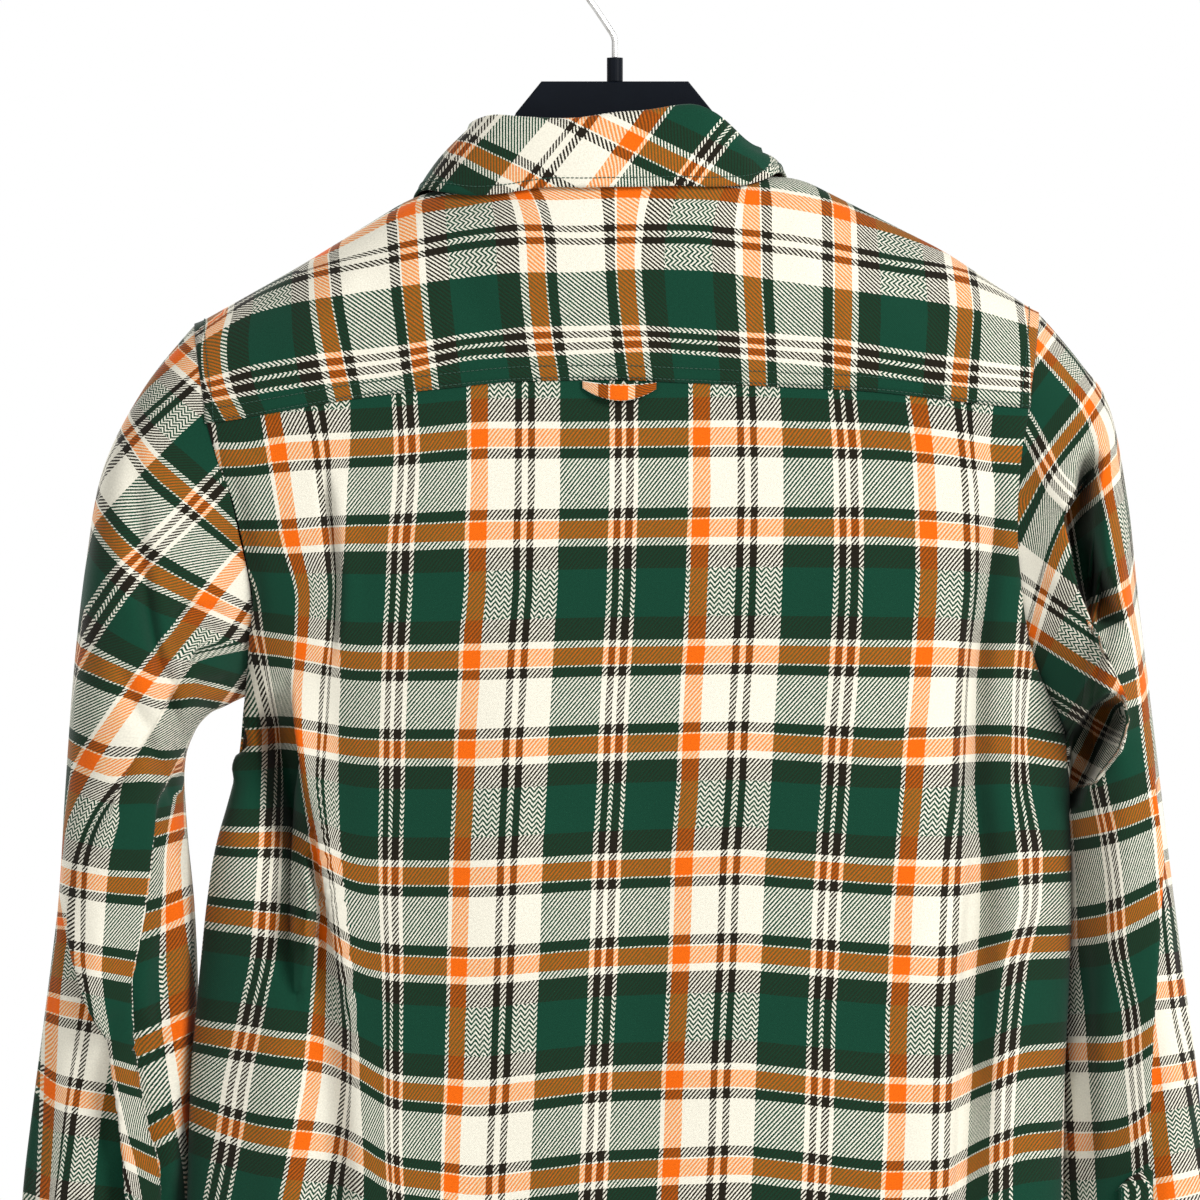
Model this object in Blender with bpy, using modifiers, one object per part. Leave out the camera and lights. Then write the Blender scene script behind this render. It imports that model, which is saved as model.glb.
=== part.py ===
"""A flannel shirt hung on a plastic hanger. Metres, +Z up, the shirt's front faces -Y and the
wearer's left is +X. The origin is the inner top of the hook, where the rail bears."""

import math

import bmesh
import bpy
import numpy as np
from mathutils import Matrix

for old in list(bpy.data.objects):
    bpy.data.objects.remove(old, do_unlink=True)

MM = 0.001

# Walls
CLOTH = 1.4 * MM
COLLAR_WALL = 1.8 * MM
SEAM = 0.25 * MM
BEND_SEAM = 0.8 * MM

# Body: one row for each level, from the yoke seam's level down to the hem
# z, left edge x, right edge x, y of the left edge, y of the right edge, y of the back, y of the front
BODY = np.array([
    (-240, 246, -243, 33, 33, 44, -45),
    (-280, 238, -240, 36, 36, 47, -50),
    (-310, 229, -235, 37, 37, 49, -53),
    (-350, 219, -234, 34, 35, 51, -56),
    (-385, 213, -237, 26, 30, 52, -58),
    (-410, 213, -241, 16, 23, 53, -59),
    (-440, 216, -252, 0, 12, 54, -60),
    (-456, 217, -263, 0, 0, 54, -60),
    (-475, 219, -265, 0, 0, 55, -61),
    (-500, 225, -266, 0, 0, 55, -61),
    (-530, 234, -267, 0, 0, 56, -62),
    (-565, 239, -267, 0, 0, 56, -62),
    (-606, 243, -266, 0, 0, 57, -63),
    (-660, 248, -263, 0, 0, 57, -62),
    (-730, 250, -262, 0, 0, 58, -62),
    (-800, 251, -263, 0, 0, 58, -60),
    (-920, 253, -265, 0, 0, 58, -58),
]) * MM
LEFT_ARMPIT_Z = -440 * MM
RIGHT_ARMPIT_Z = -456 * MM
HEM_CENTRE_Z = -905 * MM
HEM_SIDE_RISE = 62 * MM
BOXINESS = 2.5

# Shoulders: the ridge over the hanger's arms, and the yoke's seam across the back
# x, z of the ridge
RIDGE = np.array([
    (-250, -219), (-193, -181), (-108, -138), (-83, -137), (-45, -121), (0, -112),
    (45, -121), (83, -139), (120, -150), (184, -189.5), (247, -225),
]) * MM
RIDGE_Y = 0.0
RIDGE_LEFT_X = 246 * MM
RIDGE_RIGHT_X = -248 * MM
# x, z of the seam between the yoke and the back
YOKE_SEAM = np.array([
    (-240, -272), (-150, -262), (0, -255.5), (60, -256.5), (150, -266), (240, -281),
]) * MM
FRONT_SEAM_Q = 2.45
NECK_HALF_WIDTH = 83 * MM
NECK_BACK_Q = 1.60
NECK_FRONT_Q = 2.75

# Large folds of the body: top x, top z, bottom x, bottom z, half width, depth outward
BACK_FOLDS = np.array([
    (172, -350, 160, -960, 15, -9),
    (196, -420, 197, -960, 15, 4),
    (132, -520, 128, -960, 22, 4),
    (-205, -300, -226, -960, 13, -6),
    (-178, -420, -190, -960, 18, 4),
    (-60, -700, -52, -980, 26, 4),
    (40, -740, 34, -980, 22, -4),
]) * MM
FRONT_FOLDS = np.array([
    (150, -330, 165, -960, 18, -6),
    (104, -460, 112, -960, 22, 5),
    (-140, -340, -160, -960, 16, -6),
    (-96, -520, -104, -960, 22, 5),
    (196, -520, 205, -960, 14, -4),
    (-206, -480, -214, -960, 14, -4),
]) * MM

# Sleeves, one row for each section: outer x, y and z, inner x, y and z, depth at the back and front
LEFT_SLEEVE = np.array([
    (276, 0, -262, 228, 0, -446, 46, -46),
    (299, 0, -308, 238, 0, -451, 54, -52),
    (309, 0, -363, 247, -2, -462, 60, -58),
    (316, 0, -425, 253, -6, -482, 60, -58),
    (321, 0, -493, 252, -14, -520, 57, -56),
    (325, -2, -556, 248, -22, -566, 54, -54),
    (333, -5, -622, 246, -28, -624, 52, -52),
    (341, -7, -682, 247, -30, -682, 50, -50),
    (347, -6, -736, 249, -28, -736, 49, -49),
    (349, -3, -794, 256, -20, -794, 48, -48),
    (346, -1, -822, 266, -14, -822, 45, -45),
    (340, 0, -838, 273, -12, -838, 42, -42),
]) * MM
RIGHT_SLEEVE = np.array([
    (-272, 0, -246, -269, 0, -461, 46, -46),
    (-289, 0, -272, -271, 0, -468, 54, -52),
    (-300, 0, -330, -271, -4, -482, 60, -58),
    (-306, 0, -385, -270, -12, -503, 60, -58),
    (-315, 0, -462, -270, -22, -533, 57, -56),
    (-323, -2, -526, -268, -28, -574, 54, -54),
    (-332, -5, -597, -267, -30, -624, 52, -52),
    (-341, -7, -662, -264, -30, -678, 50, -50),
    (-346, -6, -728, -263, -28, -734, 49, -49),
    (-347, -3, -780, -269, -20, -782, 48, -48),
    (-344, -1, -806, -277, -14, -806, 45, -45),
    (-338, 0, -821, -283, -12, -821, 42, -42),
]) * MM
# Sleeve folds: turn at the top (0 is the underarm, 0.25 the back, 0.5 the outer edge), row at the top,
# turn and row at the bottom, half width in turns, depth outward in millimetres
LEFT_SLEEVE_FOLDS = (
    (0.40, 1.2, 0.06, 3.6, 0.045, -7.0),
    (0.30, 3.2, 0.06, 5.0, 0.040, -4.0),
    (0.14, 4.4, 0.20, 8.6, 0.045, -6.0),
    (0.60, 2.0, 0.90, 4.4, 0.045, -6.0),
    (0.66, 5.4, 0.74, 9.4, 0.050, -6.0),
)
RIGHT_SLEEVE_FOLDS = (
    (0.38, 1.0, 0.16, 2.9, 0.045, -8.0),
    (0.62, 2.2, 0.88, 4.6, 0.045, -6.0),
    (0.70, 5.6, 0.76, 9.4, 0.050, -6.0),
)
# Where the outer part of a lower sleeve lies behind the rest: z, x of the step, depth of the step
LEFT_SLEEVE_STEP = np.array([
    (-545, 326, 0), (-565, 321, 5), (-610, 312, 11), (-643, 297, 14),
    (-690, 290, 15), (-735, 286, 13), (-805, 284, 0),
]) * MM
RIGHT_SLEEVE_STEP = np.array([
    (-480, -316, 0), (-530, -320, 5), (-577, -318, 10), (-640, -314, 13),
    (-700, -312, 13), (-740, -311, 12), (-805, -310, 0),
]) * MM
# Single dents and swells of a sleeve's back: x, z, half width, half height, depth outward
LEFT_SLEEVE_DENTS = np.array([
    (243, -430, 12, 14, 5), (226, -424, 9, 16, -6),
]) * MM
RIGHT_SLEEVE_DENTS = np.array([
    (-294, -432, 15, 20, 8), (-277, -480, 13, 24, -15), (-300, -498, 12, 18, 4),
]) * MM

STEP_WIDTH = 16 * MM

# Collar: turn in degrees from the centre back, x and q of the leaf's outer edge on the shoulder
LEAF_EDGE = (
    (0, 4, 1.545), (30, 62, 1.60), (50, 88, 1.66), (70, 110, 1.80), (90, 121, 2.00),
    (112, 120, 2.34), (135, 108, 2.62), (158, 88, 2.82), (174, 70, 2.90),
)
LEAF_RIGHT_SCALE = 0.915
LEAF_STAND_OFF = 3.2 * MM
# The stand's height round the neck: turn, height
STAND = np.array([
    (-180, 26), (-120, 22), (-90, 17), (-66, 19), (-40, 33), (0, 33), (45, 28), (71, 28), (90, 26), (180, 26),
])
FOLD_RADIUS = 3.0 * MM

# Front closing, cuffs and small pieces
PLACKET_HALF_WIDTH = 16 * MM
UNDER_STEP = CLOTH + 0.5 * MM
CUFF_HEIGHT = 64 * MM
CUFF_WALL = 2.0 * MM
BUTTON_RADIUS = 5.6 * MM
BUTTON_THICKNESS = 2.6 * MM
BUTTON_HOLE_RADIUS = 0.85 * MM
BUTTON_HOLE_OFFSET = 1.6 * MM
FRONT_BUTTON_COUNT = 7
FRONT_BUTTON_TOP_Z = -273 * MM
FRONT_BUTTON_PITCH = 85 * MM
SLEEVE_PLACKET_LENGTH = 106 * MM
SLEEVE_PLACKET_HALF_WIDTH = 12 * MM

# Hanger and hook
HANGER_HALF_THICKNESS = 5 * MM
HANGER_EDGE = 1.0 * MM
HANGER_TOP_Z = -81 * MM
HANGER_TOP_HALF_WIDTH = 43 * MM
HANGER_ARM_DEPTH = 24 * MM
HANGER_UNDER_CLOTH = 3.2 * MM
BOSS_RADIUS = 4.7 * MM
BOSS_TOP_Z = -67 * MM
WIRE_RADIUS = 1.8 * MM
HOOK_RADIUS = 20 * MM


def collection(name):
    made = bpy.data.collections.new(name)
    bpy.context.scene.collection.children.link(made)
    return made


PARTS = collection("parts")
CUTTERS = collection("cutters")
CUTTERS.hide_render = True


def material(name, colour, roughness, metallic=0.0):
    made = bpy.data.materials.new(name)
    made.use_nodes = True
    shader = made.node_tree.nodes["Principled BSDF"]
    shader.inputs["Base Color"].default_value = (*colour, 1.0)
    shader.inputs["Roughness"].default_value = roughness
    shader.inputs["Metallic"].default_value = metallic
    return made


def place(name, points, faces, colour, roughness, metallic=0.0, into=PARTS):
    mesh = bpy.data.meshes.new(name)
    mesh.from_pydata([tuple(point) for point in points], [], faces)
    mesh.update()
    made = bpy.data.objects.new(name, mesh)
    made.data.materials.append(material(name + "_finish", colour, roughness, metallic))
    into.objects.link(made)
    return made


def soft_read(table, column, at, soft):
    """A table's column read at a place in its first column, eased over a soft distance."""
    order = np.argsort(table[:, 0])
    steps = np.linspace(-soft, soft, 7)
    return float(np.mean(np.interp(at + steps, table[order, 0], table[order, column])))


def fold_push(folds, x, z):
    """How far the folds push the cloth outward at a place on the body."""
    push = 0.0
    for top_x, top_z, low_x, low_z, width, depth in folds:
        down = (top_z - z) / (top_z - low_z)
        if down <= 0.0:
            continue
        centre = top_x + (low_x - top_x) * down
        grow = min(1.0, down / 0.3)
        grow = grow * grow * (3.0 - 2.0 * grow)
        push += depth * grow * math.exp(-((x - centre) / width) ** 2)
    return push


def section_point(face, across, z):
    """A point of the body at one level: across runs 0 to 0.5 from the left edge to the centre
    line and on to 1 at the right edge. face is 1 for the back and -1 for the front."""
    left = soft_read(BODY, 1, z, 12 * MM)
    right = soft_read(BODY, 2, z, 12 * MM)
    left_y = soft_read(BODY, 3, z, 8 * MM) if z > LEFT_ARMPIT_Z else 0.0
    right_y = soft_read(BODY, 4, z, 8 * MM) if z > RIGHT_ARMPIT_Z else 0.0
    deep_y = abs(soft_read(BODY, 5 if face > 0 else 6, z, 20 * MM))
    turn = np.linspace(0.0, math.pi, 241)
    cosine = np.cos(turn)
    edge_y = left_y + (right_y - left_y) * (1 - cosine) / 2
    x = (left + right) / 2 + (left - right) / 2 * np.sign(cosine) * np.abs(cosine) ** (2 / BOXINESS)
    y = edge_y + (deep_y - edge_y) * np.sin(turn).clip(0) ** (2 / BOXINESS)
    run = np.concatenate([[0.0], np.cumsum(np.hypot(np.diff(x), np.diff(y)))])
    middle = np.interp(0.0, -x, run)
    if across <= 0.5:
        want = middle * across * 2
    else:
        want = middle + (run[-1] - middle) * (across - 0.5) * 2
    px = float(np.interp(want, run, x))
    py = float(np.interp(want, run, y))
    edge = left_y + (right_y - left_y) * across
    inside = min(1.0, (py - edge) / max(deep_y - edge, 1e-6))
    py += fold_push(BACK_FOLDS if face > 0 else FRONT_FOLDS, px, z) * max(inside, 0.0)
    return np.array([px, face * py, z])


def seam_level(across):
    x = RIDGE_LEFT_X + (RIDGE_RIGHT_X - RIDGE_LEFT_X) * across
    return soft_read(YOKE_SEAM, 1, x, 15 * MM)


def hem_level(across):
    side = abs(2 * across - 1)
    return HEM_CENTRE_Z + HEM_SIDE_RISE * side ** 2.6


def shell_point(across, q):
    """A point of the shirt's body: q is 0 at the back hem, 1 at the yoke seam's level, 2 on the
    shoulder ridge, 3 at the same level on the front and 4 at the front hem."""
    face = 1 if q <= 2 else -1
    level = q if q <= 2 else 4 - q
    seam_z = seam_level(across)
    if level <= 1:
        return section_point(face, across, hem_level(across) + (seam_z - hem_level(across)) * level)
    low = section_point(face, across, seam_z)
    rise = (level - 1) * math.pi / 2
    ridge_x = RIDGE_LEFT_X + (low[0] - LOW_LEFT) * (RIDGE_RIGHT_X - RIDGE_LEFT_X) / (LOW_RIGHT - LOW_LEFT)
    ridge_z = soft_read(RIDGE, 1, ridge_x, 9 * MM)
    near_neck = math.exp(-((ridge_x / (95 * MM)) ** 4))
    sharp = 0.95 - 0.45 * near_neck
    x = low[0] + (ridge_x - low[0]) * math.sin(rise)
    y = RIDGE_Y + (low[1] - RIDGE_Y) * math.cos(rise) ** sharp
    z = seam_z + (ridge_z - seam_z) * math.sin(rise)
    return np.array([x, y, z])


LOW_LEFT = section_point(1, 0.0, seam_level(0.0))[0]
LOW_RIGHT = section_point(1, 1.0, seam_level(1.0))[0]


ACROSS_STEPS = np.linspace(1.0, 0.0, 81)
ACROSS_X = np.array([shell_point(across, 2.0)[0] for across in ACROSS_STEPS])


def across_at(x):
    """The across value whose column stands at x on the shoulder ridge."""
    return float(np.interp(x, ACROSS_X, ACROSS_STEPS))


def shell_normal(across, q):
    low, high = max(across - 0.004, 0.0), min(across + 0.004, 1.0)
    along = shell_point(high, q) - shell_point(low, q)
    up = shell_point(across, q + 0.01) - shell_point(across, q - 0.01)
    normal = np.cross(along, up)
    return normal / np.linalg.norm(normal)


def neckline(turn):
    """Across and q of the neckline at a turn in degrees from the centre back, left positive."""
    angle = math.radians(turn)
    reach = NECK_BACK_Q if abs(turn) <= 90 else NECK_FRONT_Q
    q = 2 + (2 - reach) * -math.cos(angle) if abs(turn) <= 90 else 2 + (reach - 2) * -math.cos(angle)
    return across_at(NECK_HALF_WIDTH * math.sin(angle)), q


NECK_SEAM_TURN = math.degrees(math.acos(-(FRONT_SEAM_Q - 2) / (NECK_FRONT_Q - 2)))
NECK_SEAM_ACROSS = neckline(NECK_SEAM_TURN)[0]


def trim(grid, side, gap):
    """Draws one edge of a grid of points back along the cloth, for a seam."""
    grid = grid if side in ("first", "last") else grid.transpose(1, 0, 2)
    edge, inner = (0, 1) if side in ("first", "start") else (-1, -2)
    pull = grid[inner] - grid[edge]
    length = np.linalg.norm(pull, axis=1, keepdims=True)
    grid[edge] = grid[edge] + pull * np.minimum(gap / length, 0.8)


def cloth(name, grid, wall, colour, roughness=0.9, closed=False):
    """A sheet through a grid of points, rows by columns, given its wall by a Solidify."""
    rows, columns = grid.shape[:2]
    faces = []
    for row in range(rows - 1):
        for column in range(columns if closed else columns - 1):
            after = (column + 1) % columns
            faces.append((row * columns + column, row * columns + after,
                          (row + 1) * columns + after, (row + 1) * columns + column))
    made = place(name, grid.reshape(-1, 3), faces, colour, roughness)
    thick = made.modifiers.new("wall", "SOLIDIFY")
    thick.thickness = wall
    thick.offset = 0.0
    thick.use_even_offset = False
    return made


def spread(share):
    """Across values drawn toward both edges, where the cloth turns most."""
    return share - 0.72 * math.sin(2 * math.pi * share) / (2 * math.pi)


CHECK = (0.17, 0.18, 0.13)

# Back: one panel from the hem to the yoke seam
BACK_COLUMNS = 29
BACK_ROWS = 23
grid = np.array([
    [
        shell_point(spread(column / (BACK_COLUMNS - 1)), row / (BACK_ROWS - 1))
        for column in range(BACK_COLUMNS)
    ]
    for row in range(BACK_ROWS)
])
trim(grid, "last", SEAM)
trim(grid, "start", SEAM)
trim(grid, "end", SEAM)
cloth("back", grid, CLOTH, CHECK)

# Yoke: from the back seam over the shoulders to the front seams, with the neck's edge between
YOKE_ROWS = 11
SHOULDER_COLUMNS = 8
NECK_COLUMNS = 19
# Each column's foot on the back seam, and its top on a front seam or on the neck's edge. The
# columns bend round the neck's widest place, which lies on the shoulder ridge.
neck_foot = 104 * MM
yoke_columns = []
for step in range(SHOULDER_COLUMNS):
    share = step / SHOULDER_COLUMNS
    yoke_columns.append((across_at(neck_foot) * share, NECK_SEAM_ACROSS * share, FRONT_SEAM_Q))
for step in range(NECK_COLUMNS):
    turn = NECK_SEAM_TURN * (1 - 2 * step / (NECK_COLUMNS - 1))
    foot_x = math.copysign(np.interp(abs(turn), (0, 90, NECK_SEAM_TURN), (0, 80 * MM, neck_foot)), turn)
    yoke_columns.append((across_at(foot_x), *neckline(turn)))
right_foot, right_top = yoke_columns[-1][:2]
for step in range(1, SHOULDER_COLUMNS + 1):
    share = 1 - step / SHOULDER_COLUMNS
    yoke_columns.append((1 - (1 - right_foot) * share, 1 - (1 - right_top) * share, FRONT_SEAM_Q))
grid = []
for row in range(YOKE_ROWS):
    line = []
    share = row / (YOKE_ROWS - 1)
    for low, top, top_q in yoke_columns:
        line.append(shell_point(low + (top - low) * share ** 4, 1 + (top_q - 1) * share))
    grid.append(line)
grid = np.array(grid)
for side in ("first", "last", "start", "end"):
    trim(grid, side, SEAM)
cloth("yoke", grid, CLOTH, CHECK)


def front_grid(first, last, columns, rows, inward, edge_dense=True):
    """A front panel between two across values, set in by a step where it lies under the other."""
    grid = []
    for row in range(rows):
        line = []
        for column in range(columns):
            share = column / (columns - 1)
            low = first + (last - first) * (0.3 * share + 0.7 * share ** 1.8 if edge_dense else share)
            top_q = FRONT_SEAM_Q
            if NECK_SEAM_ACROSS < low < 1 - NECK_SEAM_ACROSS:
                x = float(np.interp(1 - low, 1 - ACROSS_STEPS, ACROSS_X))
                turn = 180 - math.degrees(math.asin(min(1.0, abs(x) / NECK_HALF_WIDTH)))
                top_q = neckline(turn)[1]
            q = 4 + (top_q - 4) * row / (rows - 1)
            point = shell_point(low, q)
            if inward:
                near = 1 - min(1.0, abs(low - last) / 0.16)
                point = point + np.array([0.0, inward * near * near * (3 - 2 * near), 0.0])
            line.append(point)
        grid.append(line)
    return np.array(grid)


# Fronts: the left laps over the right, and its band lies on it
FRONT_ROWS = 25
grid = front_grid(0.0, across_at(-13 * MM), 14, FRONT_ROWS, 0.0)
trim(grid, "start", SEAM)
trim(grid, "last", BEND_SEAM)
cloth("front_left", grid, CLOTH, CHECK)

grid = front_grid(1.0, across_at(15 * MM), 14, FRONT_ROWS, UNDER_STEP + 0.6 * MM)
trim(grid, "start", SEAM)
trim(grid, "last", BEND_SEAM)
cloth("front_right", grid[:, ::-1], CLOTH, CHECK)


def front_band(first_x, last_x, columns, rows, out):
    grid = front_grid(across_at(first_x), across_at(last_x), columns, rows, 0.0, False)
    grid[:, :, 1] -= out
    return grid


grid = front_band(PLACKET_HALF_WIDTH, -PLACKET_HALF_WIDTH, 5, FRONT_ROWS, CLOTH + 0.35 * MM)
trim(grid, "last", 1.5 * MM)
cloth("front_placket", grid, CLOTH, CHECK)


# Sleeves
AROUND = 20


def resample(points, count, split):
    """A closed loop's points spread evenly by length on both sides of the split point."""
    first = points[:split + 1]
    second = np.concatenate([points[split:], points[:1]])
    parts = []
    for part in (first, second):
        run = np.concatenate([[0.0], np.cumsum(np.linalg.norm(np.diff(part, axis=0), axis=1))])
        want = np.linspace(0.0, run[-1], count // 2 + 1)[:-1]
        parts.append(np.stack([np.interp(want, run, part[:, axis]) for axis in range(3)], axis=1))
    return np.concatenate(parts)


def armhole(across):
    """The armhole's loop: from the underarm up the back to the shoulder point, and down the front."""
    hem, seam_z = hem_level(across), seam_level(across)
    armpit = LEFT_ARMPIT_Z if across < 0.5 else RIGHT_ARMPIT_Z
    low = (armpit - hem) / (seam_z - hem)
    qs = np.linspace(low, 2.0, 41)
    back = [shell_point(across, q) for q in qs]
    front = [shell_point(across, 4 - q) for q in qs[::-1]]
    return np.array(back + front[1:-1]), 40


def sleeve_ring(row, step_table, dents):
    """One section of a sleeve, from the inner edge over the back to the outer edge and round."""
    outer, inner = row[:3], row[3:6]
    turn = np.linspace(0.0, 2 * math.pi, 97)[:-1]
    reach = np.sign(np.cos(turn)) * np.abs(np.cos(turn)) ** (2 / 2.3)
    deep = np.sign(np.sin(turn)) * np.abs(np.sin(turn)) ** (2 / 2.3)
    points = (outer + inner) / 2 + (inner - outer) / 2 * reach[:, None]
    points[:, 1] += np.where(deep > 0, row[6] * deep, -row[7] * deep)
    for point, depth in zip(points, deep):
        if depth <= 0:
            continue
        step_x = soft_read(step_table, 1, point[2], 10 * MM)
        step_y = soft_read(step_table, 2, point[2], 10 * MM)
        past = min(1.0, max(0.0, (abs(point[0]) - abs(step_x)) / STEP_WIDTH + 0.5))
        point[1] -= step_y * past * past * (3 - 2 * past) * min(1.0, depth * 2)
        for x, z, wide, high, swell in dents:
            near = math.exp(-((point[0] - x) / wide) ** 2 - ((point[2] - z) / high) ** 2)
            point[1] += swell * near * min(1.0, depth * 1.5)
    return resample(points, AROUND, 48)


def sleeve_fold_push(folds, turn, row):
    push = 0.0
    for top_turn, top_row, low_turn, low_row, width, depth in folds:
        down = (row - top_row) / (low_row - top_row)
        if not 0.0 < down < 1.0:
            continue
        centre = top_turn + (low_turn - top_turn) * down
        push += depth * MM * math.sin(math.pi * down) * math.exp(-((turn - centre) / width) ** 2)
    return push


def sleeve_grid(table, across, folds, step_table, dents, rows):
    loop, split = armhole(across)
    start = resample(loop, AROUND, split)
    rings = [start] + [sleeve_ring(row, step_table, dents) for row in table]
    rings = np.array(rings)
    grid = []
    for at in np.linspace(0.0, len(rings) - 1, rows):
        low = min(int(at), len(rings) - 2)
        part = at - low
        before, after = rings[max(low - 1, 0)], rings[min(low + 2, len(rings) - 1)]
        here, there = rings[low], rings[low + 1]
        slope_here = (there - before) / (2 if low else 1)
        slope_there = (after - here) / (2 if low + 2 < len(rings) else 1)
        a, b = 2 * part ** 3 - 3 * part ** 2 + 1, part ** 3 - 2 * part ** 2 + part
        c, d = 3 * part ** 2 - 2 * part ** 3, part ** 3 - part ** 2
        ring = a * here + b * slope_here + c * there + d * slope_there
        centre = ring.mean(axis=0)
        for index in range(AROUND):
            push = sleeve_fold_push(folds, index / AROUND, at)
            away = ring[index] - centre
            ring[index] = ring[index] + away / np.linalg.norm(away) * push
        grid.append(ring)
    return np.array(grid)


SLEEVE_ROWS = 26


def lift_armhole(grid, direction):
    """Opens the seam round the armhole, wider at the underarm where the two walls close up."""
    for index in range(AROUND):
        under = 0.5 + 0.5 * math.cos(2 * math.pi * index / AROUND)
        grid[0, index, 0] += direction * (1.0 + 1.5 * under) * MM
        grid[0, index, 2] -= 0.6 * (1 - under) * MM
        grid[1, index, 0] += direction * 0.8 * under * MM


left_grid = sleeve_grid(LEFT_SLEEVE, 0.0, LEFT_SLEEVE_FOLDS, LEFT_SLEEVE_STEP, LEFT_SLEEVE_DENTS, SLEEVE_ROWS)
lift_armhole(left_grid, 1)
cloth("sleeve_left", left_grid, CLOTH, CHECK, closed=True)

right_grid = sleeve_grid(
    RIGHT_SLEEVE, 1.0, RIGHT_SLEEVE_FOLDS, RIGHT_SLEEVE_STEP, RIGHT_SLEEVE_DENTS, SLEEVE_ROWS
)
lift_armhole(right_grid, -1)
cloth("sleeve_right", right_grid[:, ::-1], CLOTH, CHECK, closed=True)


# Cuffs: a band wound once round the wrist, its end lapped over its start at the back
def cuff_grid(ring, side):
    centre = ring.mean(axis=0)
    steps = 27
    grid = []
    for row in range(4):
        drop = row / 3
        line = []
        for step in range(steps):
            turn = 0.30 + 1.09 * step / (steps - 1)
            place_on = (turn % 1.0) * AROUND
            low = int(place_on) % AROUND
            part = place_on - int(place_on)
            point = ring[low] * (1 - part) + ring[(low + 1) % AROUND] * part
            lap = min(1.0, max(0.0, (turn - 1.22) / 0.08))
            out = (CUFF_WALL + 0.5 * MM) * lap * lap * (3 - 2 * lap)
            away = point - centre
            away = away / np.linalg.norm(away)
            point = point + away * (out - 1.5 * MM * drop)
            line.append((point[0], point[1], ring[0][2] - 0.45 * MM - CUFF_HEIGHT * drop))
        grid.append(line)
    grid = np.array(grid)
    return grid if side > 0 else grid[:, ::-1]


cloth("cuff_left", cuff_grid(left_grid[-1], 1), CUFF_WALL, CHECK)
cloth("cuff_right", cuff_grid(right_grid[-1], -1), CUFF_WALL, CHECK)


def grid_point(grid, turn, at):
    """A point of a sleeve's grid at a turn and a row, both with fractions."""
    row = min(int(at), grid.shape[0] - 2)
    part = at - row
    place_on = (turn % 1.0) * AROUND
    low = int(place_on) % AROUND
    share = place_on - int(place_on)
    upper = grid[row, low] * (1 - share) + grid[row, (low + 1) % AROUND] * share
    lower = grid[row + 1, low] * (1 - share) + grid[row + 1, (low + 1) % AROUND] * share
    return upper * (1 - part) + lower * part


# Sleeve plackets: a band with a pointed top over each sleeve's slit
def sleeve_placket(name, grid, turn, side):
    lengths = np.linalg.norm(np.diff(grid[:, int(turn * AROUND)], axis=0), axis=1)
    run = np.concatenate([[0.0], np.cumsum(lengths[::-1])])
    strip = []
    for share in np.linspace(0.0, 1.0, 11):
        up = 0.8 * MM + SLEEVE_PLACKET_LENGTH * share
        at = grid.shape[0] - 1 - float(np.interp(up, run, np.arange(len(run))))
        centre = grid[min(int(round(at)), grid.shape[0] - 1)].mean(axis=0)
        line = []
        for step in np.linspace(-1.0, 1.0, 5):
            width = SLEEVE_PLACKET_HALF_WIDTH * step
            top = 1.0 - 0.11 * abs(step)
            here = grid_point(grid, turn, at)
            beside = grid_point(grid, turn + 0.02, at)
            per_turn = np.linalg.norm(beside - here) / 0.02
            on_turn = turn + width / per_turn
            on_at = at if share * 1.0 <= top else at + (share - top) * SLEEVE_PLACKET_LENGTH / 12.6 / MM * 0.5
            on_at = min(on_at, grid.shape[0] - 1.31)
            point = grid_point(grid, on_turn, on_at)
            round_way = grid_point(grid, on_turn + 0.02, on_at) - grid_point(grid, on_turn - 0.02, on_at)
            down_way = grid_point(grid, on_turn, on_at + 0.3) - grid_point(grid, on_turn, on_at - 0.3)
            out = np.cross(round_way, down_way)
            out *= np.sign(np.dot(out, point - centre))
            line.append(point + out / np.linalg.norm(out) * (CLOTH + 1.3 * MM))
        strip.append(line)
    strip = np.array(strip)
    cloth(name, strip if side > 0 else strip[:, ::-1], CLOTH, CHECK)


sleeve_placket("sleeve_placket_left", left_grid, 0.34, 1)
sleeve_placket("sleeve_placket_right", right_grid, 0.285, -1)


# Collar: a stand on the neckline, and a leaf that turns over it
def stand_foot(turn):
    across, q = neckline(turn)
    return shell_point(across, q)


def stand_height(turn):
    heights = [np.interp(turn + step, STAND[:, 0], STAND[:, 1]) for step in (-8, -4, 0, 4, 8)]
    return float(np.mean(heights)) * MM


def stand_top(turn):
    foot = stand_foot(turn)
    angle = math.radians(turn)
    lean = np.array([-math.sin(angle) * 3 * MM, -math.cos(angle) * 2 * MM, 0.0])
    if abs(turn) > 90:
        lean[1] = -abs(math.cos(angle)) * 6 * MM
    return foot + lean + np.array([0.0, 0.0, stand_height(turn)])


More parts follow.
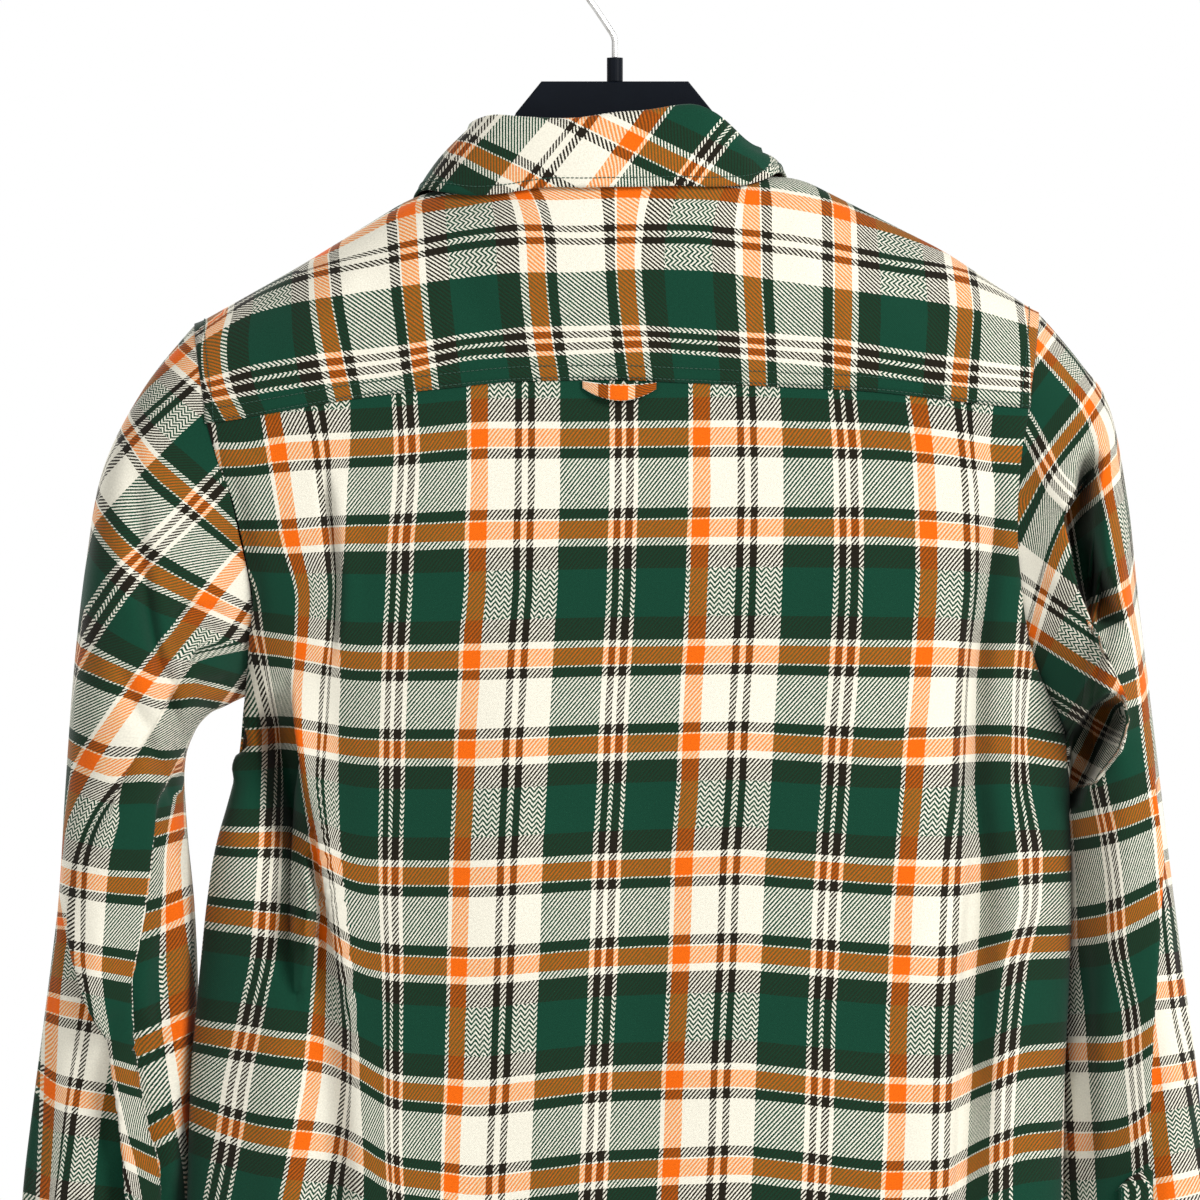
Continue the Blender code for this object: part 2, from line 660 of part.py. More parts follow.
STAND_COLUMNS = 39
grid = []
for row in range(4):
    line = []
    for column in range(STAND_COLUMNS):
        turn = -190 + 380 * column / (STAND_COLUMNS - 1)
        held = max(-180.0, min(180.0, turn))
        foot, top = stand_foot(held), stand_top(held)
        beyond = (turn - held) * 1.4 * MM
        low = (1.2 + 1.7 * math.sin(math.radians(held) / 2) ** 2) * MM / np.linalg.norm(top - foot)
        point = foot + (top - foot) * (low + (0.98 - low) * row / 3)
        if turn > 140:
            lap = min(1.0, (turn - 140) / 30)
            point[1] -= (COLLAR_WALL / 2 + 0.4 * MM) * lap
        if turn < -140:
            lap = min(1.0, (-140 - turn) / 30)
            point[1] += (COLLAR_WALL / 2 + 0.4 * MM) * lap
        point[0] -= beyond
        line.append(point)
    grid.append(line)
cloth("collar_stand", np.array(grid)[:, ::-1], COLLAR_WALL, CHECK)


def leaf_edge(turn):
    """Where the leaf's outer edge lies, just clear of the shoulder under it."""
    rows = np.array(LEAF_EDGE)
    x = float(np.mean([np.interp(abs(turn) + step, rows[:, 0], rows[:, 1]) for step in (-6, -3, 0, 3, 6)]))
    q = float(np.mean([np.interp(abs(turn) + step, rows[:, 0], rows[:, 2]) for step in (-6, -3, 0, 3, 6)]))
    if turn < 0:
        x = -x * LEAF_RIGHT_SCALE
    across = across_at(x * MM)
    return shell_point(across, q) + shell_normal(across, q) * LEAF_STAND_OFF


LEAF_COLUMNS = 41
grid = []
LEAF_STEPS = ("foot", "rise", "crest", "turn", 0.30, 0.55, 0.80, 1.0)
for step in LEAF_STEPS:
    line = []
    for column in range(LEAF_COLUMNS):
        turn = -172 + 344 * column / (LEAF_COLUMNS - 1)
        top, edge = stand_top(turn), leaf_edge(turn)
        angle = math.radians(turn)
        away = np.array([math.sin(angle), math.cos(angle), 0.0])
        up = np.array([0.0, 0.0, 1.0])
        over = top + away * 2 * FOLD_RADIUS + up * 1.5 * MM
        if step == "foot":
            point = top + up * 0.3 * MM
        elif step == "rise":
            point = top + up * 2.0 * MM + away * 0.1 * MM
        elif step == "crest":
            point = top + up * (2.0 * MM + FOLD_RADIUS) + away * FOLD_RADIUS
        elif step == "turn":
            point = over
        else:
            bow = math.sin(math.pi * step) * (2.5 + 4.5 * max(0.0, -math.cos(angle)) ** 2) * MM
            point = over + (edge - over) * step + (up * 0.7 + away * 0.7) * bow
        line.append(point)
    grid.append(line)
cloth("collar_leaf", np.array(grid)[:, ::-1], COLLAR_WALL, CHECK)

# Locker loop: a narrow band sewn in under the yoke seam, its middle hanging free
LOOP_HALF_SPAN = 22 * MM
LOOP_WIDTH = 9.5 * MM
grid = []
for row in range(3):
    line = []
    for share in np.linspace(-1.0, 1.0, 15):
        x = -2 * MM + share * LOOP_HALF_SPAN
        sag = 1 - share ** 2
        z = seam_level(across_at(x)) - 1.6 * MM - 2.2 * MM * sag - LOOP_WIDTH * row / 2 * (0.45 + 0.55 * sag)
        base = section_point(1, across_at(x), z)
        off = 1.7 * MM + 5.0 * MM * sag - 1.0 * MM * sag * row / 2
        line.append((base[0], base[1] + off, z))
    grid.append(line)
cloth("locker_loop", np.array(grid), 1.2 * MM, CHECK)


# Buttons: four-hole discs
holes = bmesh.new()
for hole_x in (-BUTTON_HOLE_OFFSET, BUTTON_HOLE_OFFSET):
    for hole_y in (-BUTTON_HOLE_OFFSET, BUTTON_HOLE_OFFSET):
        bmesh.ops.create_cone(holes, cap_ends=True, segments=6, radius1=BUTTON_HOLE_RADIUS,
                              radius2=BUTTON_HOLE_RADIUS, depth=2 * BUTTON_THICKNESS,
                              matrix=Matrix.Translation((hole_x, hole_y, 0.0)))
mesh = bpy.data.meshes.new("button_holes")
holes.to_mesh(mesh)
holes.free()
HOLES = bpy.data.objects.new("button_holes", mesh)
CUTTERS.objects.link(HOLES)
HOLES.hide_render = True


def drilled_disc():
    """A button's mesh with its four holes, made once and then set in place."""
    bpy.ops.mesh.primitive_cylinder_add(vertices=16, radius=BUTTON_RADIUS, depth=BUTTON_THICKNESS)
    made = bpy.context.object
    cut = made.modifiers.new("holes", "BOOLEAN")
    cut.object = HOLES
    cut.operation = "DIFFERENCE"
    cut.solver = "EXACT"
    bpy.context.view_layer.update()
    graph = bpy.context.evaluated_depsgraph_get()
    mesh = bpy.data.meshes.new_from_object(made.evaluated_get(graph))
    bpy.data.objects.remove(made, do_unlink=True)
    return mesh


PATTERN = drilled_disc()


def sew_on(name, seat, normal, off):
    """A copy of the button, its face along the normal and its middle off the cloth's own middle."""
    normal = np.array(normal) / np.linalg.norm(normal)
    side = np.cross((0.0, 0.0, 1.0), normal)
    side = side / np.linalg.norm(side)
    upward = np.cross(normal, side)
    mesh = PATTERN.copy()
    mesh.name = name
    for vertex in mesh.vertices:
        x, y, z = vertex.co
        vertex.co = tuple(np.array(seat) + side * x + upward * y + normal * (z + off))
    mesh.materials.clear()
    mesh.materials.append(material(name + "_finish", (0.03, 0.05, 0.035), 0.35))
    made = bpy.data.objects.new(name, mesh)
    PARTS.objects.link(made)


on_placket = CLOTH + 0.35 * MM + CLOTH / 2 + 0.8 * MM + BUTTON_THICKNESS / 2
for number in range(FRONT_BUTTON_COUNT):
    z = FRONT_BUTTON_TOP_Z - FRONT_BUTTON_PITCH * number
    seat = section_point(-1, 0.5, z)
    sew_on(f"front_button_{number + 1}", seat, (0, -1, 0), on_placket)
foot, top = stand_foot(180), stand_top(180)
seat = foot + (top - foot) * 0.5
slope = np.array([0.0, -(top - foot)[2], (top - foot)[1]])
sew_on("collar_button", seat, slope, COLLAR_WALL + 0.9 * MM + BUTTON_THICKNESS / 2)
for side, grid in (("left", left_grid), ("right", right_grid)):
    ring = grid[-1]
    centre = ring.mean(axis=0)
    spot = grid_point(grid, 0.345, grid.shape[0] - 1.001)
    away = spot - centre
    away[2] = 0.0
    away = away / np.linalg.norm(away)
    lapped = CUFF_WALL + 0.5 * MM + CUFF_WALL / 2 - 0.75 * MM
    seat = spot + away * lapped - np.array([0.0, 0.0, CUFF_HEIGHT / 2])
    along = grid_point(grid, 0.365, grid.shape[0] - 1.001) - grid_point(grid, 0.325, grid.shape[0] - 1.001)
    facing = np.array([along[1], -along[0], 0.0])
    facing *= np.sign(np.dot(facing, away))
    sew_on(f"cuff_button_{side}", seat, facing, BUTTON_THICKNESS / 2 + 0.5 * MM)

# Hanger: a flat plate at the neck whose arms run out under the shoulders
top_line, low_line = [], []
neck_xs = [side * x * MM for side in (-1, 1) for x in (43, 58, 76, 86, 93)]
right_arm_xs = list(np.linspace(-226 * MM, -100 * MM, 12))
left_arm_xs = list(np.linspace(100 * MM, 222 * MM, 12))
for x in sorted(right_arm_xs + neck_xs + left_arm_xs):
    ridge = soft_read(RIDGE, 1, x, 9 * MM) - HANGER_UNDER_CLOTH
    ridge -= 1.5 * MM * math.exp(-(((abs(x) - 90 * MM) / (9 * MM)) ** 2))
    plate_xs = (HANGER_TOP_HALF_WIDTH / MM, 58, 76)
    plate = np.interp(abs(x) / MM, plate_xs, (HANGER_TOP_Z / MM, -99.5, -144)) * MM
    top = plate if abs(x) < 80 * MM else ridge
    low = soft_read(RIDGE, 1, x, 30 * MM) - HANGER_ARM_DEPTH - 4 * MM
    top_line.append((x, top))
    low_line.append((x, low))
plate = bpy.data.curves.new("hanger", "CURVE")
plate.dimensions = "2D"
plate.fill_mode = "BOTH"
plate.extrude = HANGER_HALF_THICKNESS - HANGER_EDGE
plate.bevel_depth = HANGER_EDGE
plate.bevel_resolution = 0
plate.offset = -HANGER_EDGE
outline = top_line + low_line[::-1]
spline = plate.splines.new("POLY")
spline.points.add(len(outline) - 1)
for point, (x, z) in zip(spline.points, outline):
    point.co = (x, z, 0.0, 1.0)
spline.use_cyclic_u = True
hanger = bpy.data.objects.new("hanger", plate)
hanger.rotation_euler = (math.radians(90), 0.0, 0.0)
hanger.location = (0.0, RIDGE_Y, 0.0)
hanger.data.materials.append(material("hanger_finish", (0.010, 0.013, 0.017), 0.45))
PARTS.objects.link(hanger)

# Boss: the collar the hook's wire stands in
boss_height = BOSS_TOP_Z - HANGER_TOP_Z - 0.3 * MM
bpy.ops.mesh.primitive_cylinder_add(vertices=24, radius=BOSS_RADIUS, depth=boss_height)
boss = bpy.context.object
boss.name = "hanger_boss"
boss.location = (0.0, RIDGE_Y, (BOSS_TOP_Z + HANGER_TOP_Z + 0.3 * MM) / 2)
boss.data.materials.append(material("boss_finish", (0.010, 0.013, 0.017), 0.4))
for owner in list(boss.users_collection):
    owner.objects.unlink(boss)
PARTS.objects.link(boss)

# Hook: steel wire, up from the boss, aside, and round over the rail
path = [(0.0, BOSS_TOP_Z + 0.4 * MM), (0.0, -57 * MM), (0.6 * MM, -54.5 * MM), (1.9 * MM, -52.2 * MM)]
path += [(11.3 * MM, -38.0 * MM), (14.6 * MM, -33.6 * MM)]
loop_z = -HOOK_RADIUS + WIRE_RADIUS
start = math.radians(-33)
arc = [start + math.radians(236) * step / 20 for step in range(21)]
for angle in arc:
    path.append((HOOK_RADIUS * math.cos(angle), loop_z + HOOK_RADIUS * math.sin(angle)))
curve = bpy.data.curves.new("hook", "CURVE")
curve.dimensions = "3D"
curve.bevel_depth = WIRE_RADIUS
curve.bevel_resolution = 2
curve.use_fill_caps = True
spline = curve.splines.new("POLY")
spline.points.add(len(path) - 1)
for point, (x, z) in zip(spline.points, path):
    point.co = (x, RIDGE_Y, z, 1.0)
hook = bpy.data.objects.new("hook", curve)
hook.data.materials.append(material("hook_finish", (0.6, 0.6, 0.62), 0.25, 1.0))
PARTS.objects.link(hook)
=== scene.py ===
"""A plaid flannel shirt on a plastic hanger: its cloth, sewing, buttons and finishes, in metres."""
import math

import bpy
import numpy as np
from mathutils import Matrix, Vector


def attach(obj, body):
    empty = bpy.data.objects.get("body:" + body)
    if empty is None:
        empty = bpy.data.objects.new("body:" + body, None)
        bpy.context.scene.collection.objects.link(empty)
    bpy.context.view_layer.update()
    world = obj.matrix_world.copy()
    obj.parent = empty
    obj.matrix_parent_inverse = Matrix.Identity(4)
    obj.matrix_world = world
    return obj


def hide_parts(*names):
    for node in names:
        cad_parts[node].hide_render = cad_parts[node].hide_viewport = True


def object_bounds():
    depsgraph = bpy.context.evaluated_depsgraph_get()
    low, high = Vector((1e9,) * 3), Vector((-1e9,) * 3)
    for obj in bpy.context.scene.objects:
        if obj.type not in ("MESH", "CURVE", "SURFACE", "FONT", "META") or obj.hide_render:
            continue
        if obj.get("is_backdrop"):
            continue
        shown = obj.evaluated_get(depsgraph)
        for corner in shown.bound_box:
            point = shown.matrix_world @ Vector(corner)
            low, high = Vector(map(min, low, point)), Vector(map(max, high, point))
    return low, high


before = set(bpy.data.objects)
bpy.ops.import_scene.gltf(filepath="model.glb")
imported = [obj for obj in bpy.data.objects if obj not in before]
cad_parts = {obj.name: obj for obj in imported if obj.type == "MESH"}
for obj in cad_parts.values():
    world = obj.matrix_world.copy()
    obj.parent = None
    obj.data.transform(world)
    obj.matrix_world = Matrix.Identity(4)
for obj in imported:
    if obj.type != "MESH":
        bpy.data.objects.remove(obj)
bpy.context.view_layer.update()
MM = 0.001

# Camera: a long lens, level with the middle of the back, so that the shirt shows almost without
# perspective and is cut off by the frame below the elbows.
def set_out(name, data):
    """A new object that holds the data, put into the scene."""
    made = bpy.data.objects.new(name, data)
    bpy.context.scene.collection.objects.link(made)
    return made


lens = bpy.data.cameras.new("camera")
lens.sensor_width = 36
lens.lens = 257
lens.clip_end = 60
camera = set_out("camera", lens)
camera.location = (0.0087, 5.02, -0.3847)
camera.rotation_euler = (math.radians(90), 0, math.radians(180))
bpy.context.scene.camera = camera

# Back: one panel of brushed cotton twill, cut on the straight grain and sewn up into the yoke. It
# hangs flat over the front with two long soft folds and a lapped one by the wearer's left side.

# z, left x, right x, y of the left edge, y of the right edge, y of the back, y of the front
BODY = np.array([
    (-240, 246, -243, 33, 33, 44, -45), (-280, 238, -240, 36, 36, 47, -50),
    (-310, 229, -235, 37, 37, 49, -53), (-350, 219, -234, 34, 35, 51, -56),
    (-385, 213, -237, 26, 30, 52, -58), (-410, 213, -241, 16, 23, 53, -59),
    (-440, 216, -252, 0, 12, 54, -60), (-456, 217, -263, 0, 0, 54, -60),
    (-475, 219, -265, 0, 0, 55, -61), (-500, 225, -266, 0, 0, 55, -61),
    (-530, 234, -267, 0, 0, 56, -62), (-565, 239, -267, 0, 0, 56, -62),
    (-606, 243, -266, 0, 0, 57, -63), (-660, 248, -263, 0, 0, 57, -62),
    (-730, 250, -262, 0, 0, 58, -62), (-800, 251, -263, 0, 0, 58, -60),
    (-920, 253, -265, 0, 0, 58, -58),
]) * MM
RIDGE = np.array([
    (-250, -219), (-193, -181), (-108, -138), (-83, -137), (-45, -121), (0, -112),
    (45, -121), (83, -139), (120, -150), (184, -189.5), (247, -225),
]) * MM
YOKE_SEAM = np.array([
    (-240, -272), (-150, -262), (0, -255.5), (60, -256.5), (150, -266), (240, -281),
]) * MM
# top x, top z, bottom x, bottom z, half width, depth outward
BACK_SWELLS = np.array([
    (172, -350, 160, -960, 15, -9), (196, -420, 197, -960, 15, 4), (132, -520, 128, -960, 22, 4),
    (-205, -300, -226, -960, 13, -6), (-178, -420, -190, -960, 18, 4),
    (-60, -700, -52, -980, 26, 4), (40, -740, 34, -980, 22, -4),
]) * MM
FRONT_SWELLS = np.array([
    (150, -330, 165, -960, 18, -6), (104, -460, 112, -960, 22, 5), (-140, -340, -160, -960, 16, -6),
    (-96, -520, -104, -960, 22, 5), (196, -520, 205, -960, 14, -4), (-206, -480, -214, -960, 14, -4),
]) * MM
ARMPIT_Z = {1: -440 * MM, -1: -456 * MM}
HEM_Z, HEM_RISE = -905 * MM, 62 * MM
RIDGE_LEFT_X, RIDGE_RIGHT_X = 246 * MM, -248 * MM
ROUNDNESS = 2 / 2.5  # of the body's section: 1 is an ellipse, less is squarer
LEVEL_STEP = 2 * MM
LEVELS = np.arange(-930 * MM, -236 * MM, LEVEL_STEP)
ACROSS = np.linspace(0, 1, 301)
CLOTH = 1.2 * MM


def soft_read(table, column, at, soft):
    """A table's column at places in its first column, eased over a soft distance."""
    order = np.argsort(table[:, 0])
    steps = np.linspace(-soft, soft, 7)
    return sum(np.interp(at + step, table[order, 0], table[order, column]) for step in steps) / 7


def smooth(share):
    share = np.clip(share, 0, 1)
    return share * share * (3 - 2 * share)


def run_from(points, axis=0):
    """The length along a line or a cloth, from its first row or its first column, to each point."""
    steps = np.linalg.norm(np.diff(points, axis=axis), axis=-1)
    first = np.zeros_like(np.take(steps, [0], axis=axis))
    return np.cumsum(np.concatenate([first, steps], axis=axis), axis=axis)


def level_lines(face):
    """x and y of the body at each level, read at even steps across it from left to right."""
    left, right = soft_read(BODY, 1, LEVELS, 12 * MM), soft_read(BODY, 2, LEVELS, 12 * MM)
    left_y = np.where(LEVELS > ARMPIT_Z[1], soft_read(BODY, 3, LEVELS, 8 * MM), 0)
    right_y = np.where(LEVELS > ARMPIT_Z[-1], soft_read(BODY, 4, LEVELS, 8 * MM), 0)
    deep = np.abs(soft_read(BODY, 5 if face > 0 else 6, LEVELS, 20 * MM))
    turn = np.linspace(0, math.pi, 241)
    cosine, sine = np.cos(turn), np.sin(turn).clip(0) ** ROUNDNESS
    reach = np.sign(cosine) * np.abs(cosine) ** ROUNDNESS
    lines = np.zeros((len(LEVELS), len(ACROSS), 2))
    for row, z in enumerate(LEVELS):
        edge = left_y[row] + (right_y[row] - left_y[row]) * (1 - cosine) / 2
        x = (left[row] + right[row]) / 2 + (left[row] - right[row]) / 2 * reach
        y = edge + (deep[row] - edge) * sine
        run = run_from(np.stack([x, y], axis=1))
        middle = np.interp(0, -x, run)
        beyond = middle + (run[-1] - middle) * (ACROSS * 2 - 1)
        want = np.where(ACROSS <= 0.5, middle * ACROSS * 2, beyond)
        px, py = np.interp(want, run, x), np.interp(want, run, y)
        edge = left_y[row] + (right_y[row] - left_y[row]) * ACROSS
        inside = np.clip((py - edge) / np.maximum(deep[row] - edge, 1e-6), 0, 1)
        for top_x, top_z, low_x, low_z, width, depth in BACK_SWELLS if face > 0 else FRONT_SWELLS:
            down = (top_z - z) / (top_z - low_z)
            if down > 0:
                centre = top_x + (low_x - top_x) * down
                py = py + depth * smooth(down / 0.3) * np.exp(-((px - centre) / width) ** 2) * inside
        lines[row] = np.stack([px, face * py], axis=1)
    return lines


LINES = {1: level_lines(1), -1: level_lines(-1)}


def section(face, across, z):
    """Points of the body at across values and levels. face is 1 at the back and -1 in front."""
    row = np.clip((z - LEVELS[0]) / LEVEL_STEP, 0, len(LEVELS) - 1.001)
    column = np.clip(across * (len(ACROSS) - 1), 0, len(ACROSS) - 1.001)
    i, j = row.astype(int), column.astype(int)
    a, b = (row - i)[..., None], (column - j)[..., None]
    table = LINES[face]
    flat = (table[i, j] * (1 - a) + table[i + 1, j] * a) * (1 - b)
    flat = flat + (table[i, j + 1] * (1 - a) + table[i + 1, j + 1] * a) * b
    return np.concatenate([flat, np.asarray(z)[..., None]], axis=-1)


def seam_level(across):
    return soft_read(YOKE_SEAM, 1, RIDGE_LEFT_X + (RIDGE_RIGHT_X - RIDGE_LEFT_X) * across, 15 * MM)


def hem_level(across):
    return HEM_Z + HEM_RISE * np.abs(2 * across - 1) ** 2.6


LOW_LEFT = section(1, np.array(0.0), seam_level(np.array(0.0)))[0]
LOW_RIGHT = section(1, np.array(1.0), seam_level(np.array(1.0)))[0]


def body_point(across, q):
    """q is 0 at the back hem, 1 at the yoke's seam, 2 on the shoulder ridge and 4 at the front hem."""
    across, q = np.broadcast_arrays(np.asarray(across, float), np.asarray(q, float))
    level = np.where(q <= 2, q, 4 - q)
    seam_z, hem_z = seam_level(across), hem_level(across)
    z = hem_z + (seam_z - hem_z) * np.minimum(level, 1)
    low = np.where((q <= 2)[..., None], section(1, across, z), section(-1, across, z))
    rise = np.clip(level - 1, 0, 1) * math.pi / 2
    stretch = (RIDGE_RIGHT_X - RIDGE_LEFT_X) / (LOW_RIGHT - LOW_LEFT)
    ridge_x = RIDGE_LEFT_X + (low[..., 0] - LOW_LEFT) * stretch
    ridge_z = soft_read(RIDGE, 1, ridge_x, 9 * MM)
    sharp = 0.95 - 0.45 * np.exp(-((ridge_x / (95 * MM)) ** 4))
    x = low[..., 0] + (ridge_x - low[..., 0]) * np.sin(rise)
    y = low[..., 1] * np.cos(rise).clip(0) ** sharp
    z = z + (ridge_z - z) * np.sin(rise)
    return np.stack([x, y, z], axis=-1)


ACROSS_STEPS = np.linspace(1, 0, 401)
ACROSS_X = body_point(ACROSS_STEPS, 2.0)[:, 0]


def across_at(x):
    return np.interp(x, ACROSS_X, ACROSS_STEPS)


def outward(points, centre=None):
    """The cloth's normal at each point of a grid, turned away from a centre, or from the body's own
    upright middle line."""
    centre = points * (0, 0, 1) if centre is None else centre
    normal = np.cross(np.gradient(points, axis=1), np.gradient(points, axis=0))
    normal /= np.linalg.norm(normal, axis=2, keepdims=True).clip(1e-9)
    return normal * np.sign(np.sum(normal * (points - centre), axis=2, keepdims=True))


def beside(line, x, z):
    """How far places lie to one side of a line of (x, z), how far along it, and the way to that side."""
    line = np.array(line, float) * MM
    lengths = np.hypot(*np.diff(line, axis=0).T)
    near = np.full(x.shape, 1e9)
    side, along = np.zeros(x.shape), np.zeros(x.shape)
    way = np.zeros(x.shape + (2,))
    for step, (start, end) in enumerate(zip(line[:-1], line[1:])):
        dx, dz = (end - start) / lengths[step]
        run = np.clip((x - start[0]) * dx + (z - start[1]) * dz, 0, lengths[step])
        off_x, off_z = x - start[0] - run * dx, z - start[1] - run * dz
        far = np.hypot(off_x, off_z)
        closer = far < near
        near = np.where(closer, far, near)
        side = np.where(closer, far * np.sign(dz * off_x - dx * off_z), side)
        along = np.where(closer, (lengths[:step].sum() + run) / lengths.sum(), along)
        way[closer] = (dz, -dx)
    return side, along, way


def crease(points, push, line, width, depth, start=0.25, end=0.25):
    """A soft trough or ridge pressed along a line, fading at its ends."""
    side, along, _ = beside(line, points[..., 0], points[..., 2])
    fade = smooth(along / start) * smooth((1 - along) / end)
    points += push * (depth * MM * fade * np.exp(-(side / (width * MM)) ** 2))[..., None]


def hollow(points, weight, line, width, depth, power, start, end):
    """Presses the cloth straight in along a line; a high power makes the walls steep."""
    side, along, _ = beside(line, points[..., 0], points[..., 2])
    fade = smooth(along / start) * smooth((1 - along) / end) * weight
    points[..., 1] -= depth * MM * np.exp(-(side / (width * MM)) ** power) * fade


def lap(points, weight, line, reach, height, over=3.0, start=0.15, end=0.15):
    """Laps the cloth on one side of a line over the cloth on the other; says which points are under.
    The turned edge lies past the line by its set, steps up steeply and falls off over its spread."""
    edge_set, steep, spread = 0.67, 2.2, 2.4
    side, along, way = beside(line, points[..., 0], points[..., 2])
    fade = smooth(along / start) * smooth((1 - along) / end) * weight
    reach = reach * MM
    side = side - edge_set * reach * fade
    share = side / reach
    shift = -over * side * np.exp(-share ** 2) * fade
    points[..., 0] += way[..., 0] * shift
    points[..., 2] += way[..., 1] * shift
    points[..., 1] += height * MM * np.tanh(steep * share) * np.exp(-(share / spread) ** 2) * fade
    return side < 0


def carried(line, at):
    """A guide line's second value at a first value, eased, and carried on straight past its ends."""
    line = np.array(sorted(line), float) * MM
    a, b = line[:, 0], line[:, 1]
    low, high = (b[1] - b[0]) / (a[1] - a[0]), (b[-1] - b[-2]) / (a[-1] - a[-2])
    found = 0
    for step in (-8, -4, 0, 4, 8):
        here = at + step * MM
        found = found + np.interp(here, a, b) + np.minimum(here - a[0], 0) * low
        found = found + np.maximum(here - a[-1], 0) * high
    return found / 5


def thread_count(lines, at, place):
    """Where places lie in the weave, read between guide lines of (threads' place, line)."""
    levels = [carried(line, at) for _, line in lines]
    counts = [count * MM for count, _ in lines]
    found = counts[0] + (levels[0] - place)
    for step in range(len(lines) - 1):
        gap = np.maximum(levels[step] - levels[step + 1], 0.5 * MM)
        inside = counts[step] + (levels[step] - place) / gap * (counts[step + 1] - counts[step])
        found = np.where(place < levels[step], inside, found)
    return np.where(place < levels[-1], counts[-1] + (levels[-1] - place), found)


def linear(colour):
    """A colour given as a dyer's chart gives it, 0 to 255, in the linear values that nodes take."""
    made = [c / 255 for c in colour]
    return (*[c / 12.92 if c <= 0.04045 else ((c + 0.055) / 1.055) ** 2.4 for c in made], 1.0)


GREEN, BLACK, CREAM, ORANGE = (8, 50, 35), (23, 19, 11), (196, 192, 178), (196, 84, 4)
# where each stripe starts in the repeat, in millimetres, and its yarn
WARP_REPEAT, WEFT_REPEAT = 129.4, 127.7
WARP_STRIPES = (
    (0, CREAM), (2.3, ORANGE), (12.2, CREAM), (28, BLACK), (32.1, CREAM), (35.6, BLACK), (39.6, CREAM),
    (54.2, GREEN), (83.4, CREAM), (86, BLACK), (90.1, CREAM), (93, BLACK), (97.1, CREAM), (99.7, GREEN),
)
WEFT_STRIPES = (
    (0, ORANGE), (10.2, CREAM), (11.4, BLACK), (17.2, CREAM), (46.3, BLACK), (52.2, CREAM),
    (53.3, ORANGE), (63.5, CREAM), (68.2, BLACK), (81.6, GREEN), (109.9, BLACK), (123.3, CREAM),
)
GREEN_WEFT_MIDDLE, GREEN_WEFT_HALF = 95.7, 14.1
# one twill line along the weft and along the warp, and half a zigzag
TWILL_U, TWILL_V, ZIGZAG = 2.4, 3.05, 2.6
EYE = 2.2  # the power by which the eye's scale of light differs from the light itself


def feed(tree, node, inputs):
    """Joins a node's inputs, by name or number, to other nodes' outputs, or gives them values."""
    for key, value in inputs.items():
        if isinstance(value, bpy.types.NodeSocket):
            tree.links.new(value, node.inputs[key])
        else:
            node.inputs[key].default_value = value


def wire(tree, kind, inputs=None, **settings):
    """A node with its settings and its inputs."""
    node = tree.nodes.new(kind)
    for name, value in settings.items():
        setattr(node, name, value)
    feed(tree, node, inputs or {})
    return node


def reckon(tree, operation, *values, clamp=False):
    """One sum on up to three values."""
    node = wire(tree, "ShaderNodeMath", dict(enumerate(values)), operation=operation, use_clamp=clamp)
    return node.outputs[0]


def blend_colour(tree, share, a, b, kind="MIX"):
    node = wire(tree, "ShaderNodeMix", data_type="RGBA", blend_type=kind)
    feed(tree, node, {0: share, 6: a, 7: b})
    return node.outputs[2]


def tones(tree, place, steps, kind="LINEAR"):
    """Dyers' colours in order of where each starts, from 0 to 1."""
    ramp = wire(tree, "ShaderNodeValToRGB", {0: place})
    ramp.color_ramp.interpolation = kind
    while len(ramp.color_ramp.elements) < len(steps):
        ramp.color_ramp.elements.new(0.5)
    for element, (start, colour) in zip(ramp.color_ramp.elements, steps):
        element.position, element.color = start, linear(colour)
    return ramp.outputs[0]


def stripes(tree, place, repeat, bands):
    """The yarns' colours in order across one repeat."""
    share = reckon(tree, "FRACT", reckon(tree, "DIVIDE", place, repeat * MM))
    return tones(tree, share, [(start / repeat, colour) for start, colour in bands], "CONSTANT")


def noise(tree, scale, detail, roughness, at=None, distortion=0.0):
    inputs = {"Scale": scale, "Detail": detail, "Roughness": roughness, "Distortion": distortion}
    return wire(tree, "ShaderNodeTexNoise", inputs if at is None else inputs | {"Vector": at}).outputs[0]


def bump(tree, height, distance, strength=1.0):
    """Relief of a height in metres."""
    inputs = {"Strength": strength, "Distance": distance, "Height": height}
    return wire(tree, "ShaderNodeBump", inputs).outputs[0]


def new_finish(name):
    """A material, its nodes and its shader."""
    made = bpy.data.materials.new(name)
    made.use_nodes = True
    tree = made.node_tree
    return made, tree, tree.nodes["Principled BSDF"]


def object_place(tree):
    return wire(tree, "ShaderNodeTexCoord").outputs["Object"]


